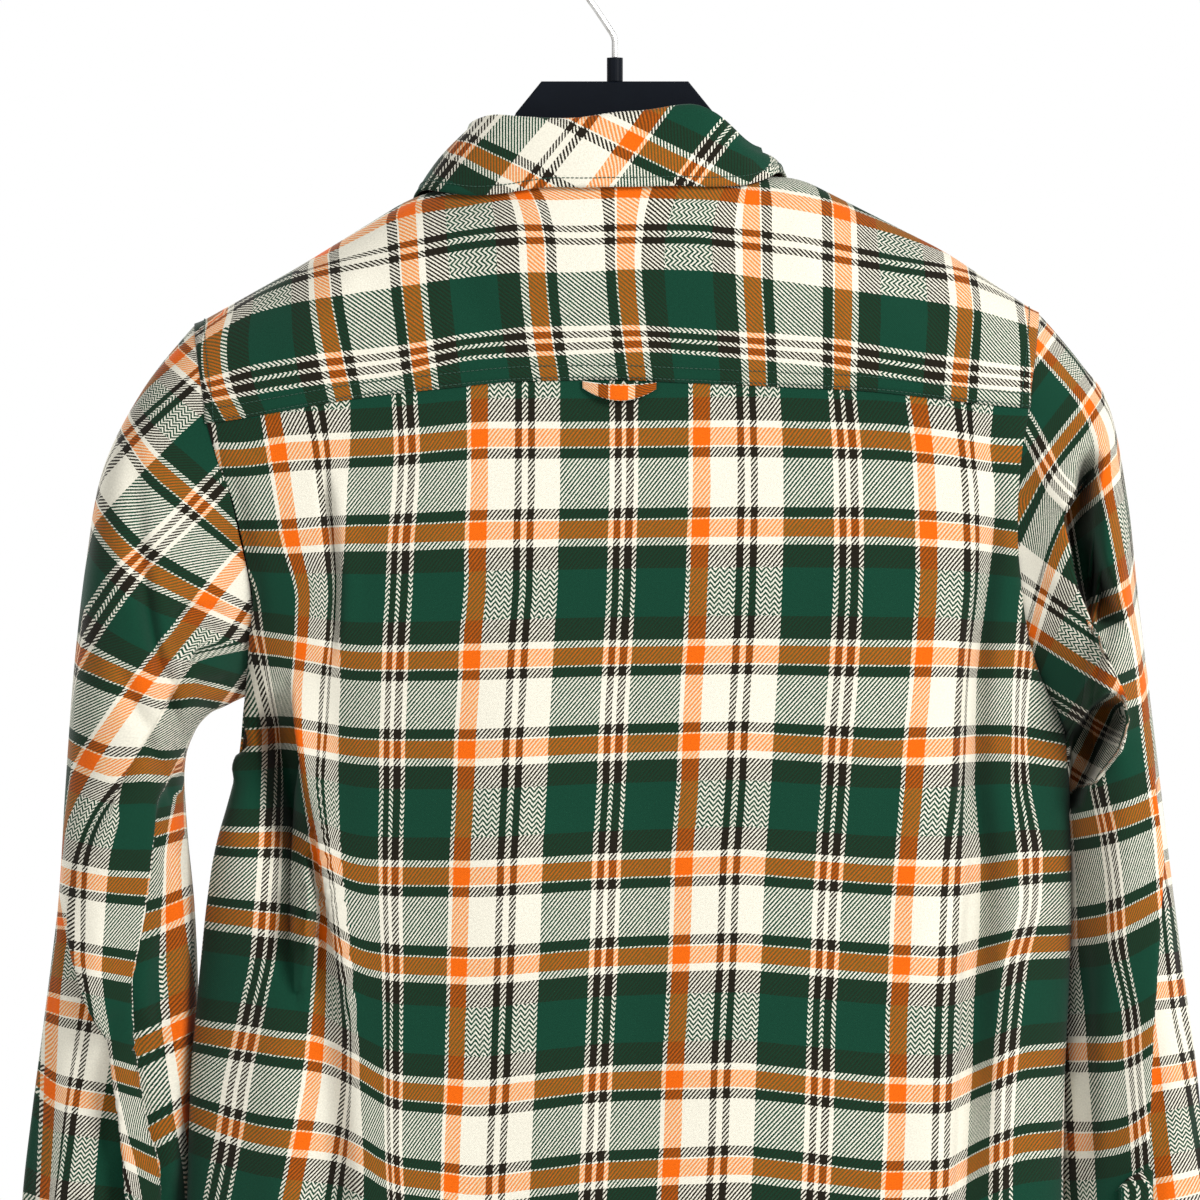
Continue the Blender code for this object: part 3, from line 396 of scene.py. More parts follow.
def flannel(name):
    """Yarn-dyed check in brushed 2/2 twill: warp and weft stripes crossing, zigzag where the green
    weft crosses cream warps, nap over all."""
    made, tree, shader = new_finish(name)
    chart = wire(tree, "ShaderNodeUVMap", uv_map="weave").outputs[0]
    split = wire(tree, "ShaderNodeSeparateXYZ", {0: chart})
    u, v = split.outputs[0], split.outputs[1]
    place = object_place(tree)
    wobble = reckon(tree, "MULTIPLY_ADD", noise(tree, 90, 2, 0.5, chart), 0.7 * MM, -0.35 * MM)
    warp = stripes(tree, reckon(tree, "ADD", u, wobble), WARP_REPEAT, WARP_STRIPES)
    weft = stripes(tree, reckon(tree, "ADD", v, wobble), WEFT_REPEAT, WEFT_STRIPES)
    # zigzag: the count along u runs back and forth there
    in_green = reckon(tree, "COMPARE", reckon(tree, "FRACT", reckon(tree, "DIVIDE", v, WEFT_REPEAT * MM)),
                      GREEN_WEFT_MIDDLE / WEFT_REPEAT, GREEN_WEFT_HALF / WEFT_REPEAT)
    in_warp = wire(tree, "ShaderNodeSeparateColor", {0: warp})
    in_weft = wire(tree, "ShaderNodeSeparateColor", {0: weft})
    zig = reckon(tree, "MULTIPLY", in_green, reckon(tree, "GREATER_THAN", in_warp.outputs[2], 0.25))
    straight = reckon(tree, "MULTIPLY", u, reckon(tree, "SUBTRACT", 1.0, zig))
    folded = reckon(tree, "MULTIPLY", reckon(tree, "PINGPONG", u, ZIGZAG * MM), zig)
    count = reckon(tree, "DIVIDE", reckon(tree, "ADD", straight, folded), TWILL_U * MM)
    phase = reckon(tree, "ADD", count, reckon(tree, "DIVIDE", v, TWILL_V * MM))
    fray = reckon(tree, "MULTIPLY_ADD", noise(tree, 1500, 2, 0.6, chart), 0.5, -0.25)
    ridge = reckon(tree, "SINE", reckon(tree, "MULTIPLY", reckon(tree, "ADD", phase, fray), 2 * math.pi))
    # a dark yarn swells over a cream one, so that it covers a little more than half
    paler = reckon(tree, "SUBTRACT", in_warp.outputs[2], in_weft.outputs[2])
    even = reckon(tree, "MULTIPLY_ADD", paler, -1.3, 0.5)
    woven = blend_colour(tree, reckon(tree, "MULTIPLY_ADD", ridge, 3.5, even, clamp=True), weft, warp)
    # the raised nap mixes both yarns, least where a cream yarn crosses a dark one
    redder = reckon(tree, "SUBTRACT", in_warp.outputs[0], in_weft.outputs[0])
    paler, redder = reckon(tree, "ABSOLUTE", paler), reckon(tree, "ABSOLUTE", redder)
    apart = reckon(tree, "MULTIPLY", reckon(tree, "MINIMUM", paler, redder), 1.5)
    apart = reckon(tree, "MAXIMUM", apart, reckon(tree, "MULTIPLY", paler, 0.55))
    # mixed as dyed fibres look when they lie together, not as lights add up
    seen = [wire(tree, "ShaderNodeGamma", {0: yarn, 1: 1 / EYE}).outputs[0] for yarn in (warp, weft)]
    middle = wire(tree, "ShaderNodeGamma", {0: blend_colour(tree, 0.5, *seen), 1: EYE}).outputs[0]
    lifted = blend_colour(tree, 1.0, middle, (0.93, 1.17, 0.92, 1), "MULTIPLY")
    nap = reckon(tree, "MULTIPLY_ADD", noise(tree, 160, 3, 0.6, chart), 0.5, 0.42)
    brushed = reckon(tree, "SUBTRACT", nap, apart, clamp=True)
    gap = wire(tree, "ShaderNodeVectorMath", {0: warp, 1: weft}, operation="DISTANCE").outputs["Value"]
    same = reckon(tree, "LESS_THAN", gap, 0.01)
    colour = blend_colour(tree, brushed, woven, blend_colour(tree, same, lifted, warp))
    fuzz = reckon(tree, "MULTIPLY_ADD", noise(tree, 900, 3, 0.7, chart), 0.6, 0.71)
    broad = reckon(tree, "MULTIPLY_ADD", noise(tree, 14, 2, 0.5, place), 0.12, 0.95)
    level = reckon(tree, "MULTIPLY", fuzz, broad)
    grey = wire(tree, "ShaderNodeCombineColor", dict.fromkeys(range(3), level)).outputs[0]
    fibres = reckon(tree, "MULTIPLY", noise(tree, 1100, 3, 0.7, chart), 0.9)
    height = reckon(tree, "MULTIPLY_ADD", reckon(tree, "ABSOLUTE", ridge), 0.5, fibres)
    feed(tree, shader, {"Base Color": blend_colour(tree, 1.0, colour, grey, "MULTIPLY"), "Roughness": 0.92,
                        "Normal": bump(tree, height, 0.25 * MM, 0.35), "Specular IOR Level": 0.05,
                        "Sheen Weight": 0.05, "Sheen Roughness": 0.6})
    return made


FLANNEL = flannel("brushed_flannel")


def hang_cloth(name, points, u, v, wall=CLOTH):
    """A fine sheet through rows and columns of points, its weave laid on it in metres, given its
    wall, riding with the hanger and standing for the frame's node of the same name."""
    rows, columns = points.shape[:2]
    index = np.arange(rows * columns).reshape(rows, columns)
    corners = (index[:-1, :-1], index[:-1, 1:], index[1:, 1:], index[1:, :-1])
    faces = np.stack(corners, axis=-1).reshape(-1, 4)
    mesh = bpy.data.meshes.new(name + "_cloth")
    mesh.vertices.add(rows * columns)
    mesh.vertices.foreach_set("co", points.reshape(-1).astype(np.float32))
    mesh.loops.add(len(faces) * 4)
    mesh.loops.foreach_set("vertex_index", faces.reshape(-1).astype(np.int32))
    mesh.polygons.add(len(faces))
    mesh.polygons.foreach_set("loop_start", np.arange(0, len(faces) * 4, 4, dtype=np.int32))
    mesh.update(calc_edges=True)
    mesh.validate()
    chart = mesh.uv_layers.new(name="weave")
    both = np.stack([u.reshape(-1), v.reshape(-1)], axis=1)[faces.reshape(-1)]
    chart.data.foreach_set("uv", both.reshape(-1).astype(np.float32))
    mesh.polygons.foreach_set("use_smooth", np.ones(len(faces), bool))
    mesh.materials.append(FLANNEL)
    made = set_out(name + "_cloth", mesh)
    thick = made.modifiers.new("wall", "SOLIDIFY")
    thick.thickness = wall
    thick.offset = 0
    thick.use_even_offset = False
    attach(made, "root")
    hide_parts(name)
    return made


# z of a level, and there the x of the warps that lie these millimetres along the weave
BACK_WARP_PLACES = (-37.9, 7.3, 33.8, 54.2, 91.5, 136.7, 266.1, 395.6, 422.1, 442.5, 471.6, 488.0)
BACK_WARPS = (
    (-268, 242, 201, 176, 154, 123, 79, -50, -176, -202, -220, -248, -264),
    (-297, 238, 196, 170, 154, 121, 79, -50, -180, -205, -217, -249, -265),
    (-321, 234, 192, 168, 156, 122, 79, -50, -181, -207, -221, -248, -264),
    (-350, 228, 188, 165, 157, 125, 80, -49, -182, -208, -220, -242, -257),
    (-379, 213, 180, 163, 159, 126, 80, -48, -182, -208, -217, -235, -249),
    (-408, 209, 182, 165, 160, 128, 83, -47, -180, -205, -213, -233, -244),
    (-437, 202, 186, 168, 160, 129, 84, -45, -178, -203, -210, -231, -241),
    (-463, 199, 185, 170, 161, 130, 86, -44, -175, -202, -210, -231, -239),
    (-493, 199, 180, 173, 161, 130, 87, -43, -173, -201, -209, -230, -241),
    (-530, 200, 172, 168, 160, 131, 89, -40, -170, -196, -213, -234, -249),
    (-565, 202, 168, 163, 157, 131, 90, -39, -167, -194, -213, -235, -248),
    (-595, 204, 170, 159, 154, 130, 91, -38, -166, -193, -211, -226, -240),
    (-630, 212, 172, 154, 150, 130, 92, -36, -164, -191, -209, -222, -236),
    (-665, 220, 175, 154, 148, 130, 93, -34, -164, -190, -208, -219, -233),
    (-700, 225, 182, 158, 146, 130, 95, -33, -163, -189, -206, -218, -231),
    (-735, 232, 189, 164, 145, 128, 96, -31, -161, -188, -204, -217, -231),
)
# the level of the repeat's first weft, and how far the wefts of a level hang above or below it, by x
FIRST_WEFT_Z = -285.2
BACK_WEFT_X = (233, 213, 192, 172, 152, 131, 79, 9, -73, -154, -195, -216, -236, -257)
BACK_WEFTS = (
    (-290, -12, -12, -8, -7, -6, -5, 0, 0, 1, -1, -5, -9, -10, -10),
    (-344, -5, -5, -6, -4, -3, -3, -1, 0, 1, 1, -1, -3, -7, -7),
    (-418, 10, 9, 6, 2, -2, -2, -1, 1, 2, 1, 1, -1, 0, -5),
    (-472, 5, 5, 8, 4, 1, 0, 0, 3, 5, 0, 1, 3, 2, -2),
    (-546, 22, 21, 22, 12, 2, 1, 1, 5, 8, 2, 1, 2, 6, 7),
    (-599, 31, 29, 26, 24, 7, 3, 1, 7, 10, 3, 1, 7, 14, 14),
    (-673, 34, 32, 29, 27, 19, 5, 1, 10, 12, 3, 2, 12, 21, 22),
    (-727, 38, 32, 29, 27, 24, 9, 2, 11, 15, 5, 6, 19, 26, 27),
)
# closer columns toward both ends, where the cloth turns at the sides
share = np.linspace(0, 1, 220)
across = share - 0.6 * np.sin(2 * math.pi * share) / (2 * math.pi)
points = body_point(across[None, :], np.linspace(0, 1, 222)[:, None])
push = outward(points)
crease(points, push, [(171, -300), (168, -320), (164, -354), (162, -372), (163, -399), (167, -425)],
       3.2, -6.5)
crease(points, push, [(162, -305), (156, -345), (154, -380), (157, -410)], 6, 2)
crease(points, push, [(180, -480), (175, -530), (167, -565), (158, -610), (150, -665), (146, -735),
                      (145, -850)], 9, 4.5, 0.2, 0.3)
# a broad trough beside the side seam and a deep narrow hollow in it, held back from the seam itself
held = smooth(across[None, :, None] / 0.03)
crease(points, push * held, [(201, -436), (204, -470), (199, -520), (191, -565), (185, -630)],
       13, -28, 0.15, 0.45)
hollow(points, held[..., 0], [(203, -438), (199, -468), (192, -500), (183, -532), (174, -566)], 7, 24, 2,
       0.2, 0.5)
crease(points, push, [(-219, -272), (-221, -300), (-219, -362), (-212, -408), (-209, -455), (-208, -493),
                      (-214, -536), (-210, -599), (-208, -650), (-205, -714), (-206, -860)],
       8, -10, 0.2, 0.2)
for line, width, depth, *ends in (
    ([(-205, -262), (-204, -290)], 2.5, -2.5, 0.05, 0.8),
    ([(-228, -480), (-236, -530), (-226, -600), (-222, -680), (-220, -780)], 8, 4.5),
    ([(-150, -300), (-140, -420), (-135, -520)], 18, 2.5),
    ([(60, -300), (64, -470), (70, -640)], 26, 2),
    ([(-20, -420), (-14, -560), (-10, -760)], 24, -3.5),
    ([(226, -300), (214, -360), (208, -410)], 7, -3.5),
    ([(224, -455), (215, -476)], 5, -3.5),
    ([(219, -452), (222, -470), (221, -492)], 4, 3),
):
    crease(points, push, line, width, depth, *ends)
weight = smooth(push[..., 1] * 1.6)
lap(points, weight, [(191, -420), (190, -439), (187, -462), (182, -491), (177, -509), (173, -539),
                     (168, -565), (164, -591), (159, -624), (154, -665)], 6.5, 5.5, 2.6, 0.2, 0.45)
x, z = points[..., 0], points[..., 2]
warps = [(place, [(row[0], row[step]) for row in BACK_WARPS])
         for step, place in enumerate(BACK_WARP_PLACES, 1)]
wefts = [(FIRST_WEFT_Z - row[0], [(x_at, row[0] + lift) for x_at, lift in zip(BACK_WEFT_X, row[1:])])
         for row in BACK_WEFTS]
back = hang_cloth("back", points, thread_count(warps, z, x), thread_count(wefts, x, z))
back_points, back_push = points, push


# Yoke: one double layer over the shoulders, cut across the grain, so that its check runs turned a
# quarter round. Its lower edge is turned under and stitched down on the back.
FRONT_SEAM_Q = 2.45
NECK_HALF_WIDTH, NECK_FOOT = 83 * MM, 104 * MM
NECK_BACK_DROP, NECK_FRONT_DROP = 0.40, 0.75


def neckline(turn):
    """Across and q of the neckline at turns in degrees from the centre back, left positive."""
    turn = np.asarray(turn, float)
    cosine = np.cos(np.radians(turn))
    q = 2 - cosine * np.where(np.abs(turn) <= 90, NECK_BACK_DROP, NECK_FRONT_DROP)
    return across_at(NECK_HALF_WIDTH * np.sin(np.radians(turn))), q


NECK_SEAM_TURN = math.degrees(math.acos((2 - FRONT_SEAM_Q) / NECK_FRONT_DROP))
NECK_SEAM_ACROSS = float(neckline(NECK_SEAM_TURN)[0])
# columns over the left shoulder, round the neckline and over the right shoulder
left, right = np.linspace(0, 1, 58)[:-1], np.linspace(1, 0, 58)[1:]
turn = np.linspace(NECK_SEAM_TURN, -NECK_SEAM_TURN, 118)
foot_x = np.sign(turn) * np.interp(np.abs(turn), (0, 90, NECK_SEAM_TURN), (0, 80 * MM, NECK_FOOT))
neck_across, neck_q = neckline(turn)
foot = np.concatenate([across_at(NECK_FOOT) * left, across_at(foot_x),
                       1 - (1 - across_at(-NECK_FOOT)) * right])
top = np.concatenate([NECK_SEAM_ACROSS * left, neck_across, 1 - (1 - neck_across[-1]) * right])
top_q = np.concatenate([np.full(left.shape, FRONT_SEAM_Q), neck_q, np.full(right.shape, FRONT_SEAM_Q)])
share = np.linspace(0, 1, 74)[:, None]
points = body_point(foot + (top - foot) * share ** 4, 1 + (top_q - 1) * share)
push = outward(points)
crease(points, push, [(196, -262), (170, -215), (140, -185)], 12, 2.2)
crease(points, push, [(-205, -262), (-190, -225), (-160, -190)], 12, -2.0)
crease(points, push, [(-150, -256), (-120, -200), (-95, -160)], 14, 2.0)
crease(points, push, [(60, -250), (90, -200), (96, -165)], 13, -2.2)
# the turned-under edge lies proud of the back and hangs a little past the seam
points += push * (0.9 * MM * np.exp(-(share / 0.05) ** 2))[..., None]
points[0, :, 2] -= 1.2 * MM
YOKE_WEFTS = [
    (-196.9, [(-204, 227), (-217, 230), (-234, 235), (-259, 233), (-280, 221)]),
    (-122.6, [(-181, 173), (-212, 170), (-240, 164), (-268, 157)]),
    (-69.2, [(-152, 122), (-160, 121), (-204, 118), (-239, 114), (-262, 111)]),
    (5.1, [(-152, 47), (-204, 45), (-231, 42), (-255, 38)]),
    (58.4, [(-152, -5), (-204, -7), (-231, -10), (-254, -13)]),
    (132.8, [(-149, -79), (-204, -80), (-231, -82), (-254, -83)]),
    (186.1, [(-169, -133), (-204, -133), (-256, -132)]),
    (260.5, [(-169, -198), (-188, -202), (-217, -205), (-253, -201), (-268, -200)]),
    (313.8, [(-204, -241), (-214, -243), (-231, -245), (-241, -246), (-268, -246)]),
]
YOKE_WARPS = [
    (7.3, [(236, -227), (213, -205), (174, -185), (125, -156), (96, -152), (54, -147), (9, -145),
           (-34, -145), (-85, -149), (-125, -156), (-166, -168), (-201, -181), (-242, -201)]),
    (33.8, [(236, -223.5), (216, -209), (197, -198), (172, -191), (125, -182), (86, -174), (49, -171),
            (-6, -171), (-43, -171), (-79, -175), (-106, -178), (-160, -188), (-205, -194), (-242, -210)]),
    (54.2, [(239, -233), (216, -219), (185, -211), (125, -202), (97, -198), (61, -194), (22, -194),
            (-10, -192), (-57, -193), (-90, -198), (-141, -205), (-180, -210), (-212, -216), (-245, -226)]),
    (83.4, [(239, -256), (210, -248), (174, -242), (125, -237), (86, -230), (52, -226), (-12, -225),
            (-71, -229), (-122, -232), (-178, -241), (-238, -249)]),
    (99.7, [(233, -269), (197, -263), (170, -259), (125, -254), (86, -245), (52, -243), (-19, -240),
            (-73, -244), (-122, -249), (-191, -260), (-233, -263)]),
]
x, z = points[..., 0], points[..., 2]
u = thread_count(YOKE_WARPS, x, z)
v = thread_count(YOKE_WEFTS, z, x)
# past the highest line that can be followed, the count goes on by the length of the cloth itself
run = run_from(points)
back_half = np.arange(len(points))[:, None] < 40
over = (u < YOKE_WARPS[0][0] * MM) | ~back_half
last = np.argmax(over, axis=0)
columns = np.arange(points.shape[1])
u_last, run_last, v_last = u[last, columns], run[last, columns], v[last, columns]
u = np.where(over, u_last - (run - run_last), u)
v = np.where(over, v_last, v)
yoke = hang_cloth("yoke", points, u, WEFT_STRIPES[7][0] * MM - v)
yoke_points, yoke_push = points, push


# Fronts: two panels that close down the middle, the wearer's left over the right, cut like the back
# and joined to it at the side seams. The right one's edge runs in under the left one's band.
def front_points(first, last, columns, rows, inward=0.0, side_dense=True):
    """A front panel between two across values, set in by a step where it lies under the other."""
    share = np.linspace(0, 1, columns)
    low = first + (last - first) * (0.3 * share + 0.7 * share ** 1.8 if side_dense else share)
    x = np.interp(1 - low, 1 - ACROSS_STEPS, ACROSS_X)
    turn = 180 - np.degrees(np.arcsin(np.clip(np.abs(x) / NECK_HALF_WIDTH, 0, 1)))
    by_neck = (low > NECK_SEAM_ACROSS) & (low < 1 - NECK_SEAM_ACROSS)
    top_q = np.where(by_neck, neckline(turn)[1], FRONT_SEAM_Q)
    q = 4 + (top_q - 4) * np.linspace(0, 1, rows)[:, None]
    points = body_point(low[None, :] + q * 0, q)
    near = smooth(1 - np.abs(low - last) / 0.16)
    points[..., 1] += inward * near
    return points


def straight_weave(points, seam_row):
    """A panel cut on the straight grain: its warps hang plumb and its wefts lie level. Across, it is
    measured along one row of the cloth from the centre front."""
    line = points[seam_row]
    way = np.sign(line[-1, 0] - line[0, 0])
    order = np.argsort(line[:, 0])
    x, run = line[order, 0], run_from(line)[order]
    across = np.interp(points[..., 0], x, (run - np.interp(0, x, run)) * way)
    lower = np.arange(len(points))[:, None] < seam_row
    own = run_from(points, 1)
    u = np.where(lower, across[:, -1:] + (own - own[:, -1:]) * way, across)
    return u, FIRST_WEFT_Z * MM - points[..., 2]


def turned(*grids):
    """Grids with their columns the other way round, so that their outer side stays outside."""
    return [grid[:, ::-1] for grid in grids]


LAP_STEP = 2.5 * MM
FRONT_CREASES = (
    ([(150, -262), (128, -360), (118, -470)], 10, 4.5),
    ([(196, -330), (176, -430), (182, -560), (176, -700)], 8, -5),
    ([(92, -300), (84, -520), (96, -760), (94, -900)], 15, -3.5),
    ([(214, -430), (190, -520), (150, -640)], 9, 4),
    ([(228, -560), (214, -700), (222, -870)], 8, -5),
    ([(132, -560), (138, -700), (128, -900)], 12, 4, 0.3, 0.1),
    ([(60, -210), (88, -260), (120, -330)], 9, -3),
)
for side, name in ((1, "front_left"), (-1, "front_right")):
    edge, centre = (0.0, across_at(-13 * MM)) if side > 0 else (1.0, across_at(15 * MM))
    points = front_points(edge, centre, 96, 172, 0.0 if side > 0 else LAP_STEP)
    push = outward(points)
    # no creases under the band
    weight = smooth((np.abs(points[..., 0]) - 26 * MM) / (30 * MM))[..., None]
    for line, width, depth, *ends in FRONT_CREASES:
        crease(points, push * weight, [(side * x, z) for x, z in line], width, depth, *ends)
    u, v = straight_weave(points, 108)
    u = u + 150 * MM
    if side > 0:
        left_front, left_front_push = points, push
    else:
        points, u, v = turned(points, u, v)
    made = hang_cloth(name, points, u, v)

# Front band: a folded strip of the same cloth, sewn down the edge of the left front along both its
# sides, with seven worked buttonholes.
BAND_HALF = 16 * MM
points = front_points(across_at(BAND_HALF), across_at(-BAND_HALF), 19, 260, side_dense=False)
push = outward(points)
points[..., 1] -= 1.75 * MM
points[..., 1] += 0.5 * MM * np.linspace(-1, 1, 19) ** 8
crease(points, push, [(10, -300), (-10, -330)], 6, 0.5)
crease(points, push, [(-10, -520), (10, -555)], 7, 0.6)
crease(points, push, [(9, -700), (-10, -730)], 7, -0.5)
u, v = straight_weave(points, 164)
band = hang_cloth("front_placket", points, u + 86 * MM, v, 1.4 * MM)
band_points, band_push = points, push

# Sleeves: one tube each, closed by an underarm seam and set into the armhole. Hung empty they
# crush flat: the outer strip drops behind and the cloth laps over itself below the shoulder.

# outer x, y and z, inner x, y and z, depth at the back and in front
LEFT_SLEEVE = np.array([
    (276, 0, -262, 228, 0, -446, 46, -46), (299, 0, -308, 238, 0, -451, 54, -52),
    (309, 0, -363, 247, -2, -462, 60, -58), (316, 0, -425, 253, -6, -482, 60, -58),
    (321, 0, -493, 252, -14, -520, 57, -56), (325, -2, -556, 248, -22, -566, 54, -54),
    (333, -5, -622, 246, -28, -624, 52, -52), (341, -7, -682, 247, -30, -682, 50, -50),
    (347, -6, -736, 249, -28, -736, 49, -49), (349, -3, -794, 256, -20, -794, 48, -48),
    (346, -1, -822, 266, -14, -822, 45, -45), (340, 0, -838, 273, -12, -838, 42, -42),
]) * MM
RIGHT_SLEEVE = np.array([
    (-272, 0, -246, -269, 0, -461, 46, -46), (-289, 0, -272, -271, 0, -468, 54, -52),
    (-300, 0, -330, -271, -4, -482, 60, -58), (-306, 0, -385, -270, -12, -503, 60, -58),
    (-315, 0, -462, -270, -22, -533, 57, -56), (-323, -2, -526, -268, -28, -574, 54, -54),
    (-332, -5, -597, -267, -30, -624, 52, -52), (-341, -7, -662, -264, -30, -678, 50, -50),
    (-346, -6, -728, -263, -28, -734, 49, -49), (-347, -3, -780, -269, -20, -782, 48, -48),
    (-344, -1, -806, -277, -14, -806, 45, -45), (-338, 0, -821, -283, -12, -821, 42, -42),
]) * MM
# turn at the top (0 underarm, 0.25 back, 0.5 outer edge), ring at the top, turn and ring at the
# bottom, half width in turns, depth outward in millimetres
LEFT_SLEEVE_FOLDS = (
    (0.40, 1.2, 0.06, 3.6, 0.045, -7), (0.30, 3.2, 0.06, 5.0, 0.040, -4), (0.14, 4.4, 0.20, 8.6, 0.045, -6),
    (0.60, 2.0, 0.90, 4.4, 0.045, -6), (0.66, 5.4, 0.74, 9.4, 0.050, -6),
    (0.58, 0.6, 0.72, 3.4, 0.030, 4), (0.94, 3.2, 0.70, 6.4, 0.028, 4), (0.84, 6.0, 0.90, 10.6, 0.030, -4),
    (0.30, 8.6, 0.36, 11.6, 0.030, -3), (0.55, 8.0, 0.60, 11.6, 0.026, 3),
)
RIGHT_SLEEVE_FOLDS = (
    (0.38, 1.0, 0.16, 2.9, 0.045, -8), (0.62, 2.2, 0.88, 4.6, 0.045, -6), (0.70, 5.6, 0.76, 9.4, 0.050, -6),
    (0.57, 0.8, 0.74, 3.6, 0.030, 4), (0.92, 3.4, 0.72, 6.6, 0.028, 4), (0.82, 6.2, 0.90, 10.6, 0.030, -4),
    (0.28, 8.8, 0.34, 11.6, 0.030, -3), (0.56, 8.0, 0.62, 11.6, 0.026, 3),
)
# z, x of the step to the strip that lies behind, depth of the step
LEFT_STEP = np.array([
    (-545, 326, 0), (-565, 321, 5), (-610, 312, 11), (-643, 297, 14), (-690, 290, 15), (-735, 286, 13),
    (-805, 284, 0),
]) * MM
RIGHT_STEP = np.array([
    (-480, -316, 0), (-530, -320, 5), (-577, -318, 10), (-640, -314, 13), (-700, -312, 13), (-740, -311, 12),
    (-805, -310, 0),
]) * MM
# x, z, half width, half height, depth outward of single dents and swells
LEFT_DENTS = ((243, -430, 12, 14, 5), (226, -424, 9, 16, -6))
RIGHT_DENTS = ((-290, -424, 13, 20, 7), (-300, -498, 12, 18, 4))
AROUND, SLEEVE_ROWS = 140, 270
SLEEVE_ROUNDNESS = 2 / 2.3


def evenly(points, count, split):
    """A closed loop's points spread evenly by length on both sides of the split point."""
    made = []
    for part in (points[:split + 1], np.concatenate([points[split:], points[:1]])):
        run = run_from(part)
        want = np.linspace(0, run[-1], count // 2 + 1)[:-1]
        made.append(np.stack([np.interp(want, run, part[:, axis]) for axis in range(3)], axis=1))
    return np.concatenate(made)


def sleeve_tube(table, side, folds, step_table, dents):
    """Rings from the armhole to the cuff, eased into each other; the last column meets the first."""
    edge = 0.0 if side > 0 else 1.0
    hem_z, seam_z = float(hem_level(np.array(edge))), float(seam_level(np.array(edge)))
    qs = np.linspace((ARMPIT_Z[side] - hem_z) / (seam_z - hem_z), 2.0, 91)
    back_edge, front_edge = body_point(edge, qs), body_point(edge, 4 - qs[::-1])
    rings = [evenly(np.concatenate([back_edge, front_edge[1:-1]]), AROUND, 90)]
    turn = np.linspace(0, 2 * math.pi, 385)[:-1]
    reach = np.sign(np.cos(turn)) * np.abs(np.cos(turn)) ** SLEEVE_ROUNDNESS
    deep = np.sign(np.sin(turn)) * np.abs(np.sin(turn)) ** SLEEVE_ROUNDNESS
    for row in table:
        outer, inner = row[:3], row[3:6]
        ring = (outer + inner) / 2 + (inner - outer) / 2 * reach[:, None]
        ring[:, 1] += np.where(deep > 0, row[6] * deep, -row[7] * deep)
        facing = np.clip(deep, 0, 1)
        step_x = soft_read(step_table, 1, ring[:, 2], 10 * MM)
        step_y = soft_read(step_table, 2, ring[:, 2], 10 * MM)
        past = smooth((np.abs(ring[:, 0]) - np.abs(step_x)) / (12 * MM) + 0.5)
        ring[:, 1] -= step_y * past * np.minimum(1, facing * 2)
        for x, z, wide, high, swell in dents:
            near = np.exp(-((ring[:, 0] / MM - x) / wide) ** 2 - ((ring[:, 2] / MM - z) / high) ** 2)
            ring[:, 1] += swell * MM * near * np.minimum(1, facing * 1.5)
        rings.append(evenly(ring, AROUND, 192))
    # rows between the rings, curved so that they leave and meet each ring at the same slope
    rings = np.array(rings)
    at = np.linspace(0, len(rings) - 1, SLEEVE_ROWS)
    low = np.minimum(at.astype(int), len(rings) - 2)
    part = (at - low)[:, None, None]
    here, there = rings[low], rings[low + 1]
    before, after = rings[np.maximum(low - 1, 0)], rings[np.minimum(low + 2, len(rings) - 1)]
    slope_here = (there - before) / np.where(low > 0, 2, 1)[:, None, None]
    slope_there = (after - here) / np.where(low + 2 < len(rings), 2, 1)[:, None, None]
    tube = (2 * part ** 3 - 3 * part ** 2 + 1) * here + (part ** 3 - 2 * part ** 2 + part) * slope_here
    tube = tube + (3 * part ** 2 - 2 * part ** 3) * there + (part ** 3 - part ** 2) * slope_there
    centre = tube.mean(axis=1, keepdims=True)
    turns, levels = np.meshgrid(np.arange(AROUND) / AROUND, at)
    press = np.zeros(turns.shape)
    for top_turn, top_row, low_turn, low_row, width, depth in folds:
        down = (levels - top_row) / (low_row - top_row)
        middle = top_turn + (low_turn - top_turn) * down
        wave = np.sin(math.pi * np.clip(down, 0, 1)) * np.exp(-((turns - middle) / width) ** 2)
        press += depth * MM * wave
    away = tube - centre
    tube = tube + away / np.linalg.norm(away, axis=2, keepdims=True) * press[..., None]
    # the seam allowance sets the first rows in from the armhole, most at the underarm
    under = 0.5 + 0.5 * np.cos(2 * math.pi * turns[0])
    ease = np.exp(-np.arange(SLEEVE_ROWS) / 5)[:, None]
    tube[..., 0] -= side * (0.9 + 0.8 * under[None, :]) * MM * ease
    tube[0, :, 2] -= 0.6 * (1 - under) * MM
    return np.concatenate([tube, tube[:, :1]], axis=1)


def sleeve_weave(tube, push, back_u, back_v, side):
    """The weave of the whole tube: read off the guide lines where it faces back, and carried on by
    its own lengths where it turns away, round the front to the underarm seam."""
    run = run_from(tube, 1)
    half = AROUND // 2
    facing = push[:, :half + 1, 1]
    first = np.argmax(facing > 0.12, axis=1)
    last = half - np.argmax(facing[:, ::-1] > 0.3, axis=1)
    spread = np.ones(31) / 31
    first, last = (np.convolve(np.pad(at, 15, mode="edge"), spread, mode="valid").round().astype(int)
                   for at in (first, last))
    turns, rows = np.arange(AROUND + 1)[None, :], np.arange(len(tube))
    u, v = back_u, back_v
    for at, beyond in ((first, turns < first[:, None]), (last, turns > last[:, None])):
        u = np.where(beyond, back_u[rows, at][:, None] - side * (run - run[rows, at][:, None]), u)
        v = np.where(beyond, back_v[rows, at][:, None], v)
    return u, v


def laid(at, place, top, *others):
    """The weave's count by the guide lines of the cloth on top, and by others where they show."""
    read = thread_count(top, at, place)
    for lines, share in others:
        read = read + (thread_count(lines, at, place) - read) * share
    return read


